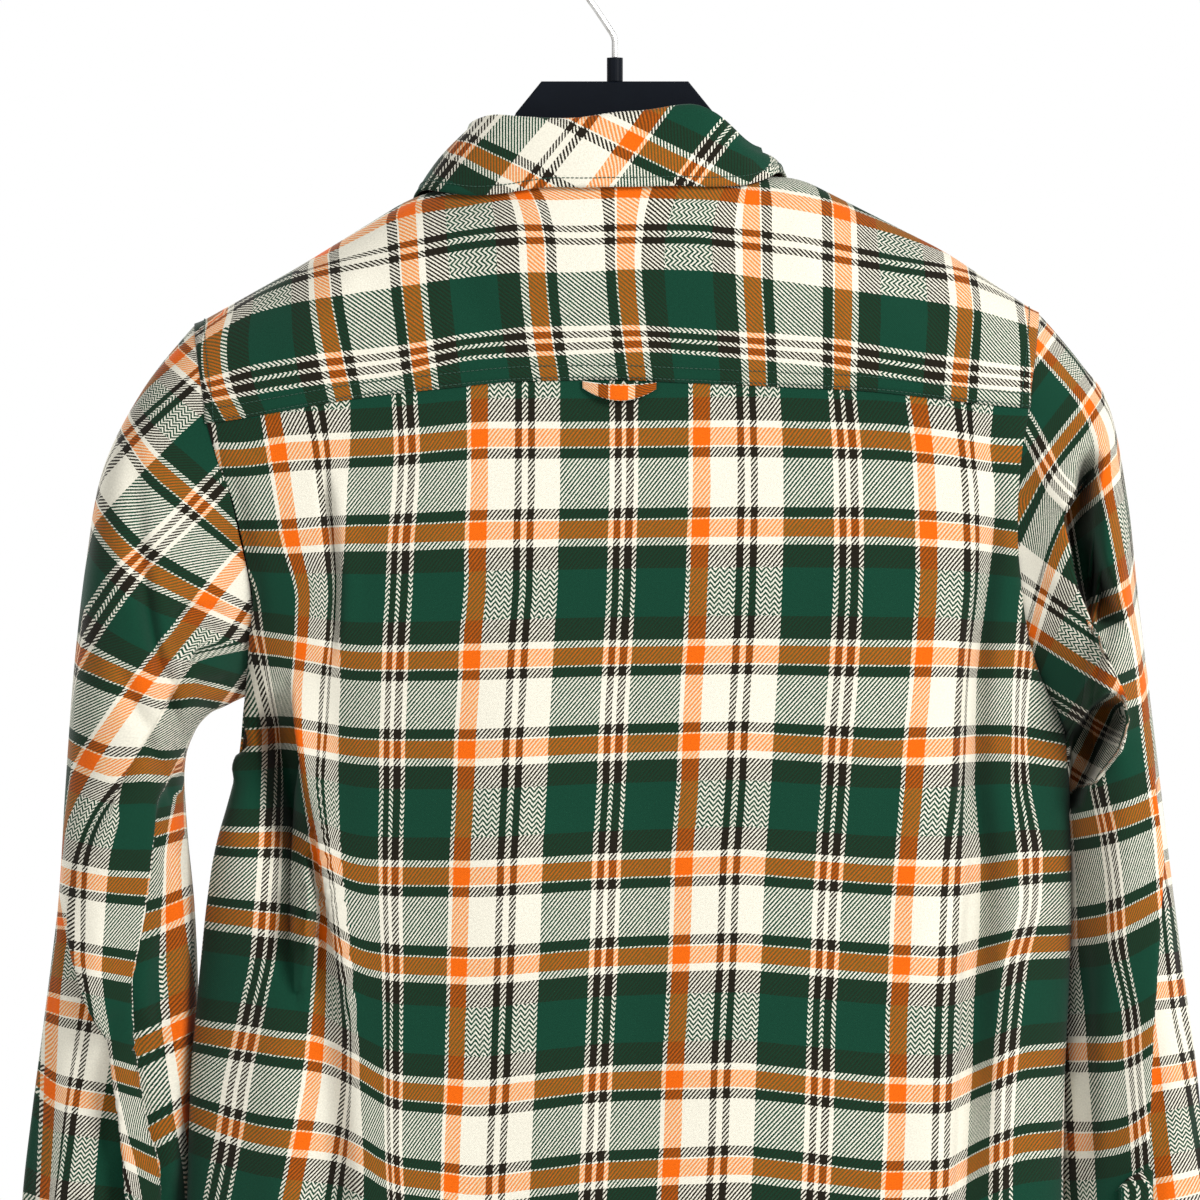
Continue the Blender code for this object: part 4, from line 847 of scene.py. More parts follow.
# Left sleeve: creases over its upper part, and three lapped folds. The warps and wefts below are
# (place in the weave, guide line) for the cloth that lies on top, the tucked fold by the armhole,
# the strip behind and the part beside the body.
tube = sleeve_tube(LEFT_SLEEVE, 1, LEFT_SLEEVE_FOLDS, LEFT_STEP, LEFT_DENTS)
push = outward(tube, tube.mean(axis=1, keepdims=True))
bend = push * np.clip(push[..., 1:2] * 2, 0, 1)
for line, width, depth, *ends in (
    ([(284, -484), (298, -505), (314, -535)], 5, -3.5, 0.2, 0.2),
    ([(222, -396), (232, -390), (246, -389), (258, -395)], 2.6, -4.5),
    ([(222, -405), (236, -400), (250, -403), (262, -414)], 2.6, -4.5),
    ([(222, -432), (236, -434), (246, -432)], 3.5, -3.0),
    ([(222, -445), (240, -462), (256, -486)], 4.5, 3.0),
    ([(218, -330), (236, -372), (262, -410)], 9, -2.5),
    ([(226, -270), (222, -310), (216, -350)], 5, 2.0),
    ([(292, -622), (288, -640), (282, -655)], 3, -3.0, 0.2, 0.3),
    ([(284, -612), (276, -632), (274, -655)], 3, -2.5, 0.2, 0.3),
    ([(262, -520), (254, -580), (256, -650), (262, -735)], 7, 3, 0.1, 0.1),
):
    crease(tube, bend, line, width, depth, *ends)
weight = smooth(push[..., 1] * 2.5)
under_outer = lap(tube, weight, [(326, -545), (324, -554), (321, -564), (318, -589), (312, -610),
                                 (305, -628), (296, -643), (293, -665), (290, -688), (288, -708),
                                 (286, -735), (284, -770)], 5.5, 3.0, 2.6, 0.2, 0.15)
under_inner = lap(tube, weight, [(262, -775), (264, -735), (265, -711), (271, -694), (276, -663),
                                 (279, -640), (280, -606), (273, -571), (269, -543), (265, -501),
                                 (255, -478)], 4.5, 2.2, 2.4, 0.15, 0.2)
under_tuck = lap(tube, weight, [(292, -506), (288, -496), (282, -484), (266, -457), (256, -437),
                                (246, -420), (238, -406)], 5.0, 3.2, 2.6, 0.15, 0.2)
LEFT_WEFTS = [
    (5.1, [(306, -255), (293, -269), (289, -275), (280, -291), (271, -304), (245, -326), (216, -352)]),
    (58.4, [(306, -331), (303, -336), (286, -357), (278, -364), (245, -382), (215, -396)]),
    (132.8, [(318, -415), (314, -417), (275, -433), (259, -441), (252, -435), (227, -441)]),
    (186.1, [(324, -469), (305, -478), (286, -484), (279, -479), (259, -483), (242, -478)]),
    (260.5, [(329, -543), (321, -546), (292, -550), (274, -551)]),
    (313.8, [(324, -592), (315, -593), (294, -597), (277, -600)]),
    (388.1, [(318, -648), (304, -655), (285, -662), (274, -665)]),
    (441.5, [(306, -697), (289, -704), (276, -711)]),
]
LEFT_WARPS = [
    (7.3, [(-226, 236), (-236, 248), (-263, 280), (-291, 312)]),
    (33.8, [(-236, 222), (-258, 248), (-280, 273), (-298, 291), (-321, 312)]),
    (91.5, [(-294, 207), (-318, 233), (-332, 245), (-357, 271), (-367, 282), (-407, 309), (-431, 324)]),
    (136.7, [(-350, 206), (-363, 219), (-385, 237), (-435, 276), (-477, 306), (-507, 320), (-530, 329)]),
    (163.2, [(-391, 212), (-420, 231), (-437, 247), (-457, 258), (-482, 275), (-497, 291), (-513, 303),
             (-536, 311), (-560, 312), (-595, 312), (-641, 303), (-682, 296), (-723, 286)]),
    (212.8, [(-443, 201), (-476, 255), (-501, 266), (-543, 271), (-571, 275), (-606, 282), (-640, 281),
             (-663, 278), (-694, 273), (-711, 267), (-735, 265)]),
]
LEFT_TUCKED_WARPS = [
    (183.6, [(-410, 236), (-420, 245), (-437, 256), (-457, 266), (-482, 283), (-497, 288), (-525, 289)]),
    (212.8, [(-410, 206), (-425, 216), (-443, 229), (-460, 243), (-476, 255), (-501, 266), (-543, 271)]),
]
LEFT_BEHIND_WEFTS = [
    (313.8, [(324, -568), (312, -568)]), (388.1, [(333, -620), (310, -624)]),
    (441.5, [(336, -666), (329, -673), (299, -678)]), (515.8, [(338, -743), (289, -749)]),
]
LEFT_BEHIND_WARPS = [
    (136.7, [(-568, 323), (-617, 328), (-675, 329), (-735, 331)]),
    (163.2, [(-612, 306), (-634, 310), (-675, 318), (-719, 324), (-735, 326)]),
    (183.6, [(-612, 290), (-647, 294), (-688, 301), (-735, 305)]),
]
LEFT_INNER_WEFTS = [
    (132.8, [(252, -435), (227, -441)]), (186.1, [(279, -479), (259, -483), (242, -478)]),
    (260.5, [(266, -516), (251, -512)]), (313.8, [(275, -573), (259, -568), (251, -564)]),
    (388.1, [(278, -645), (252, -634)]), (441.5, [(271, -697), (254, -687), (248, -683)]),
]
LEFT_INNER_WARPS = [
    (252.4, [(-490, 262), (-501, 263), (-543, 267), (-571, 272), (-606, 279), (-640, 278), (-663, 275),
             (-694, 269), (-711, 264), (-735, 262)]),
    (266.1, [(-490, 251), (-530, 260), (-568, 258), (-599, 254), (-631, 250), (-665, 245), (-735, 242)]),
]
x, z = tube[..., 0], tube[..., 2]
behind = under_outer * smooth((-545 * MM - z) / (40 * MM))
beside_body = under_inner * smooth((-478 * MM - z) / (22 * MM))
tucked = under_tuck * smooth((-408 * MM - z) / (14 * MM)) * smooth((z + 520 * MM) / (16 * MM))
u = laid(z, x, LEFT_WARPS, (LEFT_TUCKED_WARPS, tucked), (LEFT_BEHIND_WARPS, behind),
         (LEFT_INNER_WARPS, beside_body))
v = laid(x, z, LEFT_WEFTS, (LEFT_BEHIND_WEFTS, behind), (LEFT_INNER_WEFTS, beside_body))
u, v = sleeve_weave(tube, push, u, v, 1)
left_tube = tube
sleeve_left = hang_cloth("sleeve_left", tube, u, v)

# Right sleeve: a loose fold hangs over from the armhole. A steep pit under its lower end goes in
# toward the front layer, and a long narrow hollow runs beside the armhole above it.
tube = sleeve_tube(RIGHT_SLEEVE, -1, RIGHT_SLEEVE_FOLDS, RIGHT_STEP, RIGHT_DENTS)
push = outward(tube, tube.mean(axis=1, keepdims=True))
facing = np.clip(push[..., 1:2] * 2, 0, 1)
side, along, _ = beside([(-286, -453), (-280, -463), (-273, -480), (-269, -502)], tube[..., 0], tube[..., 2])
pit = np.exp(-(side / ((10 - 4.5 * along) * MM)) ** 6) * smooth(push[..., 1] * 6)
floor_y = np.interp(tube[..., 0] / MM, (-282, -272, -265), (-42, -18, 2)) * MM
tube[..., 1] += (floor_y - tube[..., 1]) * pit
hollow(tube, facing[..., 0], [(-279, -296), (-273, -318), (-270, -342), (-276, -364), (-284, -386),
                              (-294, -410)], 6.5, 44, 4, 0.2, 0.3)
# below, the sleeve rests against the body
beside_seam = np.exp(-(np.abs((np.arange(AROUND + 1) / AROUND + 0.5) % 1 - 0.5) / 0.12) ** 2)[None, :]
tube[..., 0] += 7 * MM * beside_seam * smooth((-440 * MM - tube[..., 2]) / (30 * MM))
for line, width, depth in (
    ([(-232, -282), (-246, -300), (-262, -330), (-280, -360)], 8, 2.5),
    ([(-240, -372), (-262, -392), (-284, -412)], 6, -2.5),
    ([(-300, -500), (-296, -560), (-286, -640), (-284, -735)], 9, 2.5),
    ([(-270, -560), (-274, -620), (-276, -735)], 6, -3),
    ([(-300, -330), (-306, -390), (-314, -440)], 6, -2.5),
):
    crease(tube, push * facing, line, width, depth)
weight = smooth(push[..., 1] * 2.5)
under_flap = lap(tube, weight, [(-262, -500), (-282, -494), (-297, -474), (-303, -455), (-300, -441),
                                (-289, -418), (-272, -377), (-268, -356), (-264, -338), (-276, -318),
                                (-285, -294)], 7.0, 7.0, 1.5, 0.12, 0.22)
under_outer = lap(tube, weight, [(-310, -770), (-312, -735), (-312, -701), (-314, -639), (-318, -577),
                                 (-320, -535), (-315, -489), (-312, -466)], 5.0, 2.6, 2.4, 0.15, 0.2)
RIGHT_WEFTS = [
    (5.1, [(-289, -252), (-278, -271), (-256, -298), (-236, -326)]),
    (58.4, [(-296, -300), (-285, -314), (-271, -329), (-254, -353)]),
    (132.8, [(-308, -372), (-297, -384), (-285, -389), (-268, -398)]),
    (186.1, [(-319, -426), (-309, -435), (-300, -437), (-280, -445)]),
    (260.5, [(-315, -503), (-292, -512), (-283, -514), (-268, -518)]),
    (313.8, [(-316, -559), (-290, -573), (-272, -578), (-262, -579)]),
    (388.1, [(-315, -635), (-300, -647), (-268, -649)]),
    (441.5, [(-312, -687), (-300, -697), (-278, -702), (-262, -702)]),
    (515.8, [(-312, -764), (-262, -775)]),
]
RIGHT_WARPS = [
    (39.6, [(-361, -230), (-420, -248), (-478, -259), (-536, -262), (-595, -263), (-676, -268),
            (-735, -271)]),
    (91.5, [(-265, -227), (-288, -241), (-307, -251), (-326, -262), (-361, -268), (-408, -271), (-461, -275),
            (-496, -280), (-519, -286), (-548, -290), (-587, -292), (-625, -301), (-650, -302), (-701, -306),
            (-735, -308)]),
    (136.7, [(-223, -233), (-237, -247), (-271, -278), (-291, -286), (-314, -285), (-344, -290), (-384, -297),
             (-408, -305), (-435, -309), (-472, -312), (-513, -317), (-560, -320), (-618, -325), (-676, -331),
             (-735, -335)]),
    (163.2, [(-220, -248), (-243, -271), (-286, -294), (-311, -297), (-354, -307), (-408, -317), (-478, -327),
             (-548, -335), (-618, -344), (-735, -354)]),
]
FLAP_WEFTS = [
    RIGHT_WEFTS[0],
    (58.4, [(-274, -315), (-259, -347), (-251, -368), (-245, -392), (-241, -414)]),
    (132.8, [(-303, -420), (-296, -437), (-286, -461), (-274, -484)]),
]
FLAP_WARPS = [
    (-37.9, [(-405, -200), (-441, -254), (-470, -300)]),
    (7.3, [(-385, -217), (-405, -246), (-441, -300)]),
    (33.8, [(-350, -202), (-375, -237), (-414, -292)]),
    (91.5, [(-265, -227), (-288, -241), (-307, -251), (-326, -268), (-338, -280), (-360, -302)]),
]
RIGHT_BEHIND_WEFTS = [
    (260.5, [(-318, -493), (-329, -490)]), (313.8, [(-319, -544), (-329, -542)]),
    (388.1, [(-318, -612), (-336, -611)]), (441.5, [(-314, -663), (-341, -659)]),
    (515.8, [(-312, -731), (-344, -725)]),
]
RIGHT_BEHIND_WARPS = [
    (136.7, [(-635, -312), (-688, -317), (-730, -321)]),
    (163.2, [(-530, -317), (-561, -321), (-599, -325), (-625, -328), (-656, -335), (-705, -344)]),
]
x, z = tube[..., 0], tube[..., 2]
behind = under_outer * smooth((-466 * MM - z) / (40 * MM))
flap = ~under_flap * smooth((-300 * MM - z) / (30 * MM)) * smooth((z + 505 * MM) / (8 * MM))
u = laid(z, x, RIGHT_WARPS, (FLAP_WARPS, flap), (RIGHT_BEHIND_WARPS, behind))
v = laid(x, z, RIGHT_WEFTS, (FLAP_WEFTS, flap), (RIGHT_BEHIND_WEFTS, behind))
u, v = sleeve_weave(tube, push, u, v, -1)
right_tube = tube
sleeve_right = hang_cloth("sleeve_right", *turned(tube, u, v))

# Cuffs: a double band of the same cloth, sewn to the end of each sleeve and wound once round the
# wrist, its end lapped over its start at the back and buttoned.
CUFF_WALL, CUFF_HEIGHT = 2.0 * MM, 64 * MM


def on_tube(tube, turn, row):
    """Points of a sleeve's tube at turns and rows, both with fractions."""
    row = np.clip(row, 0, tube.shape[0] - 1.001)
    column = (turn % 1.0) * AROUND
    i, j = row.astype(int), column.astype(int) % AROUND
    a, b = (row - i)[..., None], (column - column.astype(int))[..., None]
    upper = tube[i, j] * (1 - b) + tube[i, j + 1] * b
    return upper * (1 - a) + (tube[i + 1, j] * (1 - b) + tube[i + 1, j + 1] * b) * a


cuff_grids = {}
for side, name, tube in ((1, "left", left_tube), (-1, "right", right_tube)):
    turn = 0.30 + 1.09 * np.linspace(0, 1, 170)
    drop = np.linspace(0, 1, 30)[:, None]
    rim = on_tube(tube, turn, np.full(turn.shape, SLEEVE_ROWS - 1))
    away = rim - tube[-1, :-1].mean(axis=0)
    away /= np.linalg.norm(away, axis=1, keepdims=True)
    away[:, 2] = 0
    lapped = smooth((turn - 1.22) / 0.08) * (CUFF_WALL + 0.5 * MM)
    points = rim[None] + away[None] * (lapped[None, :, None] - 1.5 * MM * drop[..., None])
    points[..., 2] = rim[0, 2] - 0.45 * MM - CUFF_HEIGHT * drop
    ripple = 0.5 * MM * np.sin(turn * 2 * math.pi * 7 + side) * np.sin(math.pi * drop) ** 0.6
    points += away[None] * ripple[..., None]
    u, v = run_from(points, 1), run_from(points)
    if side < 0:
        points, u, v = turned(points, u, v)
    made = hang_cloth("cuff_" + name, points, v + 20 * MM, u, CUFF_WALL)
    cuff_grids[name] = points

# Sleeve plackets: a folded band of the same cloth with a pointed top, sewn over the slit that opens
# the sleeve above its cuff.
PLACKET_LENGTH, PLACKET_HALF, PLACKET_TIP = 106 * MM, 12 * MM, 0.11
# rows of the sleeve's tube to a metre near the cuff, and how far short of it the band stops
PLACKET_ROWS, SHORT_OF_CUFF = (SLEEVE_ROWS - 1) / (630 * MM), 7.812 * MM
placket_grids = {}
for name, tube, turn, side in (("left", left_tube, 0.34, 1), ("right", right_tube, 0.285, -1)):
    run = run_from(tube[::-1, int(turn * AROUND)])
    step, share = np.meshgrid(np.linspace(-1, 1, 15), np.linspace(0, 1, 48))
    at = SLEEVE_ROWS - 1 - np.interp(0.8 * MM + PLACKET_LENGTH * share, run, np.arange(len(run)))
    here = np.full(at.shape, turn)
    per_turn = np.linalg.norm(on_tube(tube, here + 0.02, at) - on_tube(tube, here, at), axis=2) / 0.02
    on_turn = turn + PLACKET_HALF * step / per_turn
    # the upper end runs to a point
    past = np.maximum(share - (1 - PLACKET_TIP * np.abs(step)), 0)
    on_row = np.minimum(at + past * PLACKET_LENGTH * PLACKET_ROWS,
                        SLEEVE_ROWS - 1 - SHORT_OF_CUFF * PLACKET_ROWS)
    points = on_tube(tube, on_turn, on_row)
    round_way = on_tube(tube, on_turn + 0.02, on_row) - on_tube(tube, on_turn - 0.02, on_row)
    down_way = on_tube(tube, on_turn, on_row + 2.5) - on_tube(tube, on_turn, on_row - 2.5)
    out = np.cross(round_way, down_way)
    out /= np.linalg.norm(out, axis=2, keepdims=True)
    middle = tube.mean(axis=1)[np.clip(on_row.astype(int), 0, SLEEVE_ROWS - 1)]
    out *= np.sign(np.sum(out * (points - middle), axis=2, keepdims=True))
    points = points + out * 2.6 * MM
    u, v = run_from(points, 1), run_from(points)
    if side < 0:
        points, u, v, out = turned(points, u, v, out)
    made = hang_cloth("sleeve_placket_" + name, points, u + 80 * MM, v + 12 * MM)
    placket_grids[name] = (points, out)

# Collar stand: a double band of the same cloth, stiffened and sewn upright to the neckline, its ends
# lapped and buttoned at the throat.
COLLAR_WALL = 1.8 * MM
# height at turns from the centre back, and how far the top leans in to the sides, behind and in front
STAND = np.array([(-180, 26), (-120, 22), (-90, 10), (-66, 14), (-40, 33), (0, 33), (45, 28), (71, 28),
                  (90, 26), (180, 26)])
LEAN_SIDE, LEAN_BACK, LEAN_FRONT = 3 * MM, 2 * MM, 6 * MM


def stand_foot(turn):
    return body_point(*neckline(turn))


def stand_top(turn):
    angle = np.radians(turn)
    height = sum(np.interp(turn + step, STAND[:, 0], STAND[:, 1]) for step in (-8, -4, 0, 4, 8)) / 5 * MM
    lean_y = np.cos(angle) * np.where(np.abs(turn) > 90, LEAN_FRONT, -LEAN_BACK)
    return stand_foot(turn) + np.stack([-np.sin(angle) * LEAN_SIDE, lean_y, height], axis=-1)


# the ends run on past the throat, one over the other
turn = np.linspace(-190, 190, 301)
held = np.clip(turn, -180, 180)
foot, top = stand_foot(held), stand_top(held)
low = (1.2 + 1.7 * np.sin(np.radians(held) / 2) ** 2) * MM / np.linalg.norm(top - foot, axis=1)
share = np.linspace(0, 1, 16)[:, None]
points = foot[None] + (top - foot)[None] * (low + (0.98 - low) * share)[..., None]
step_out = COLLAR_WALL / 2 + 0.4 * MM
points[..., 1] += step_out * (np.clip((-140 - turn) / 30, 0, 1) - np.clip((turn - 140) / 30, 0, 1))
points[..., 0] -= (turn - held) * 1.4 * MM
stand_points = points = points[:, ::-1]
u, v = run_from(points, 1), run_from(points)
stand = hang_cloth("collar_stand", points, u + 30 * MM, v + 70 * MM, COLLAR_WALL)

# Collar leaf: two layers cut on the bias, stiffened, turned over the stand and down on the
# shoulders, its points lying on the fronts.

# degrees round from the centre back, and the leaf's edge there: x in millimetres and q
LEAF_EDGE = np.array([
    (0, 0, 1.555), (30, 60, 1.63), (50, 84, 1.71), (70, 103, 1.83), (90, 114, 2.00),
    (112, 120, 2.34), (135, 108, 2.62), (158, 88, 2.82), (174, 70, 2.90),
])
# height and reach of the turn over the stand, each in millimetres and in fold radii
LEAF_TURN = ((0.3, 0, 0, 0), (2, 0, 0.1, 0), (2.6, 0.75, 0, 0.3), (2, 1, 0, 1), (2.2, 0.72, 0, 1.7),
             (1.5, 0, 0, 2))
FOLD_RADIUS = 3.0 * MM
turn = np.linspace(-172, 172, 321)
near = [turn + step for step in (-6, -3, 0, 3, 6)]
edge_x = sum(np.sign(at) * np.interp(np.abs(at), LEAF_EDGE[:, 0], LEAF_EDGE[:, 1]) for at in near)
edge_x = edge_x / len(near) * MM
edge_q = sum(np.interp(np.abs(at), LEAF_EDGE[:, 0], LEAF_EDGE[:, 2]) for at in near) / len(near)
edge_across = across_at(np.where(turn < 0, 0.86, 1) * edge_x)
along = body_point(edge_across + 0.004, edge_q) - body_point(edge_across - 0.004, edge_q)
normal = np.cross(along, body_point(edge_across, edge_q + 0.01) - body_point(edge_across, edge_q - 0.01))
normal /= np.linalg.norm(normal, axis=1, keepdims=True)
edge = body_point(edge_across, edge_q) + normal * 3.2 * MM
angle = np.radians(turn)
away = np.stack([np.sin(angle), np.cos(angle), angle * 0], axis=1)
up = np.array([0, 0, 1.0])
# the fold lifts off the stand in two soft humps
lift = 5.5 * np.exp(-((turn + 30) / 22) ** 2) + 4.5 * np.exp(-((turn - 56) / 20) ** 2)
top = stand_top(turn) + up * lift[:, None] * MM
bow = (2.5 + 4.5 * np.maximum(0, -np.cos(angle)) ** 2)[:, None] * MM
rows = [top + up * (height * MM + rise * FOLD_RADIUS) + away * (reach * MM + out * FOLD_RADIUS)
        for height, rise, reach, out in LEAF_TURN]
over = rows[-1]
for down in np.linspace(0, 1, 24)[1:]:
    rows.append(over + (edge - over) * down + (up * 0.7 + away * 0.7) * math.sin(math.pi * down) * bow)
points = np.array(rows)
push = outward(points, top[None] - up * 50 * MM)
soft = smooth(np.linspace(-0.3, 1.2, len(rows)))[:, None, None]
crease(points, push * soft, [(100, -150), (78, -118)], 6, 1.2, 0.1, 0.1)
crease(points, push * soft, [(-80, -140), (-62, -104)], 7, 1.2, 0.1, 0.1)
crease(points, push * soft, [(20, -145), (14, -118)], 14, 0.8, 0.1, 0.1)
run = run_from(points, 1)
flat_x = points[..., 0].copy()
for first, last in ((range(90), 90), (range(231, 321), 230)):
    flat_x[:, first] = flat_x[:, last:last + 1] + run[:, first] - run[:, last:last + 1]
fall = run_from(points)
fall = fall - fall[3]
# the bias cut seen flat: x along the fold toward the wearer's left, and the height on the back
flat_z = points[3, np.clip(np.arange(len(turn)), 104, 216), 2] + 5 * MM - fall
slant = flat_x + 0.75 * (flat_z + 119.5 * MM)
u = np.interp(slant / MM, (-156, -56.6, -7.6, 31.5, 88.6, 188), (-137, -37.9, 7.3, 33.8, 91.5, 191)) * MM
v = 5.1 * MM + ((-103.2 * MM + 0.5 * (flat_x - 13.4 * MM)) - flat_z) * 0.963
leaf = hang_cloth("collar_leaf", *turned(points, u, v), COLLAR_WALL)
leaf_points, leaf_push = points, push

# Locker loop: a narrow band of the same cloth, folded in three, its ends sewn in under the yoke's
# seam at the centre back and its middle hanging free.
down, share = np.meshgrid(np.linspace(0, 1, 9), np.linspace(-1, 1, 49), indexing="ij")
x = -2 * MM + share * 22 * MM
sag = 1 - share ** 2
z = seam_level(across_at(x)) - 1.6 * MM - 2.2 * MM * sag - 9.5 * MM * down * (0.45 + 0.55 * sag)
points = section(1, across_at(x), z)
points[..., 1] += 1.7 * MM + 5.0 * MM * sag - 1.2 * MM * sag * down
u, v = run_from(points, 1), run_from(points)
loop = hang_cloth("locker_loop", points, 1.7 * MM + 11.2 * MM * down, u - u[:, 24:25] + 5.1 * MM, 1.2 * MM)

# Sewing: two rows of lockstitch on the yoke, one beside each armhole, the collar, band, cuffs and
# hem; dark green cotton thread, ten stitches to the inch.
thread, tree, shader = new_finish("cotton_thread")
ply = wire(tree, "ShaderNodeTexWave", {"Scale": 1300, "Distortion": 2}, bands_direction="DIAGONAL")
twist = ply.outputs[1]
feed(tree, shader, {"Base Color": tones(tree, twist, ((0, (20, 52, 40)), (1, (44, 88, 68)))),
                    "Normal": bump(tree, twist, 0.1 * MM), "Roughness": 0.7})
STITCH, GAP, THREAD = 2.1 * MM, 0.55 * MM, 0.3 * MM


def inset_run(points, push, edge, inset, lift=0.85 * MM):
    """Places and outward ways along a panel, a set distance in from one of its edges."""
    if edge in ("start", "end"):
        points, push = points.transpose(1, 0, 2), push.transpose(1, 0, 2)
    if edge in ("last", "end"):
        points, push = points[::-1], push[::-1]
    run = run_from(points[:60])
    on, ways = [], []
    for column in range(points.shape[1]):
        at = np.interp(inset, run[:, column], np.arange(len(run)))
        low, part = int(at), at - int(at)
        high = min(low + 1, len(points) - 1)
        on.append(points[low, column] * (1 - part) + points[high, column] * part)
        ways.append(push[low, column])
    on, ways = np.array(on), np.array(ways)
    return on + ways * lift, ways


def made_up(name, verts, faces, finish, rounded=True):
    """A small hard piece of one finish that rides with the hanger."""
    mesh = bpy.data.meshes.new(name)
    mesh.from_pydata([tuple(vert) for vert in verts], [], faces)
    mesh.polygons.foreach_set("use_smooth", np.full(len(faces), rounded))
    mesh.materials.append(finish)
    made = set_out(name, mesh)
    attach(made, "root")
    return made


def add_strand(verts, faces, rings):
    """Adds a short closed thread, drawn through rings of six points."""
    base, last = len(verts), (len(rings) - 1) * 6
    verts.extend(rings.reshape(-1, 3))
    for ring in range(base, base + last, 6):
        for corner in range(6):
            a, b = ring + corner, ring + (corner + 1) % 6
            faces.append((a, b, b + 6, a + 6))
    faces.append(tuple(base + corner for corner in range(5, -1, -1)))
    faces.append(tuple(base + last + corner for corner in range(6)))


SIX = np.arange(6) * math.pi / 3
COSINES, SINES = np.cos(SIX)[None, :, None], np.sin(SIX)[None, :, None]


def sew(name, runs):
    """All the stitches of some runs as one mesh: each a short thread that dips in at its ends."""
    verts, faces = [], []
    high = np.array([-0.5, 0.55, 1, 0.55, -0.5])[:, None, None] * THREAD * 0.6
    wide = np.array([0.45, 0.9, 1, 0.9, 0.45])[:, None, None] * THREAD
    for line, ways in runs:
        run = run_from(line)
        for start in np.arange(0, run[-1] - STITCH, STITCH + GAP):
            at = start + STITCH * np.array([0, 0.18, 0.5, 0.82, 1.0])
            middle, way = (np.stack([np.interp(at, run, grid[:, axis]) for axis in range(3)], axis=1)
                           for grid in (line, ways))
            side = np.cross(middle[-1] - middle[0], way)
            side /= np.linalg.norm(side, axis=1, keepdims=True).clip(1e-9)
            rings = middle[:, None] + way[:, None] * (high + wide * 0.8 * SINES)
            add_strand(verts, faces, rings + side[:, None] * wide * COSINES)
    return made_up(name, verts, faces, thread)


def around(points):
    """The outward ways of a band that closes on itself round an upright line."""
    return outward(points, points.mean(axis=(0, 1)) * (1, 1, 0) + points * (0, 0, 1))


yoke_rows = (("first", 1.6), ("first", 8.5), ("start", 6.5), ("end", 6.5), ("last", 1.6))
sew("yoke_sewing", [inset_run(yoke_points, yoke_push, edge, inset * MM) for edge, inset in yoke_rows])
sew("back_sewing", [inset_run(back_points, back_push, "first", 6 * MM)])
sew("front_sewing", [inset_run(left_front, left_front_push, "first", 6 * MM),
                     inset_run(band_points, band_push, "start", 4 * MM),
                     inset_run(band_points, band_push, "end", 4 * MM)])
for name in ("left", "right"):
    grid, way = cuff_grids[name], around(cuff_grids[name])
    sew(f"cuff_{name}_sewing", [inset_run(grid, way, "first", 3 * MM, 1.15 * MM),
                                inset_run(grid, way, "last", 5 * MM, 1.15 * MM)])
    sew(f"sleeve_placket_{name}_sewing", [inset_run(*placket_grids[name], edge, 2 * MM)
                                          for edge in ("start", "end")])
sew("collar_sewing", [inset_run(leaf_points, leaf_push, "last", 5.5 * MM, 1.0 * MM)])

# Buttons: dished four-hole discs of dark green cast resin, each on its own crossed thread. Seven
# close the front, one the collar stand and one each cuff.
resin, tree, shader = new_finish("button_resin")
swirl = noise(tree, 210, 4, 0.55, object_place(tree), 1.6)
scuff = reckon(tree, "MULTIPLY_ADD", noise(tree, 600, 3, 0.6), 0.22, 0.16)
feed(tree, shader, {"Base Color": tones(tree, swirl, ((0.3, (18, 34, 27)), (0.75, (52, 84, 66)))),
                    "Roughness": scuff, "Coat Weight": 0.3})
# radius and height from the hollow of the face, over the rim and down to the back
BUTTON_PROFILE = ((2.2, 0.55), (3.1, 0.62), (3.7, 0.95), (4.3, 1.2), (4.9, 1.2), (5.35, 0.95), (5.6, 0.45),
                  (5.6, -0.35), (5.2, -0.95), (4.2, -1.25))
HOLE_RADIUS, HOLE_OUT = 0.85, 1.6
BUTTON_STEPS = 48


def button_mesh():
    """The turned disc with its four holes bored through, in metres, its face toward +Z."""
    turn = 2 * math.pi * np.arange(BUTTON_STEPS) / BUTTON_STEPS
    verts = [(radius * x * MM, radius * y * MM, height * MM) for radius, height in BUTTON_PROFILE
             for x, y in zip(np.cos(turn), np.sin(turn))]
    last = len(verts) - BUTTON_STEPS
    faces = [(step + BUTTON_STEPS, after + BUTTON_STEPS, after, step)
             for ring in range(0, last, BUTTON_STEPS)
             for step, after in ((ring + k, ring + (k + 1) % BUTTON_STEPS) for k in range(BUTTON_STEPS))]
    faces += [tuple(range(BUTTON_STEPS)), tuple(range(len(verts) - 1, last - 1, -1))]
    mesh = bpy.data.meshes.new("button")
    mesh.from_pydata(verts, [], faces)
    disc = set_out("button", mesh)
    bores = []
    for hole_x in (-HOLE_OUT, HOLE_OUT):
        for hole_y in (-HOLE_OUT, HOLE_OUT):
            bpy.ops.mesh.primitive_cylinder_add(vertices=20, radius=HOLE_RADIUS * MM, depth=8 * MM,
                                                location=(hole_x * MM, hole_y * MM, 0))
            bores.append(bpy.context.object)
            cut = disc.modifiers.new("hole", "BOOLEAN")
            cut.object, cut.solver = bores[-1], "EXACT"
    bpy.context.view_layer.update()
    done = bpy.data.meshes.new_from_object(disc.evaluated_get(bpy.context.evaluated_depsgraph_get()))
    for helper in (disc, *bores):
        bpy.data.objects.remove(helper, do_unlink=True)
    return done


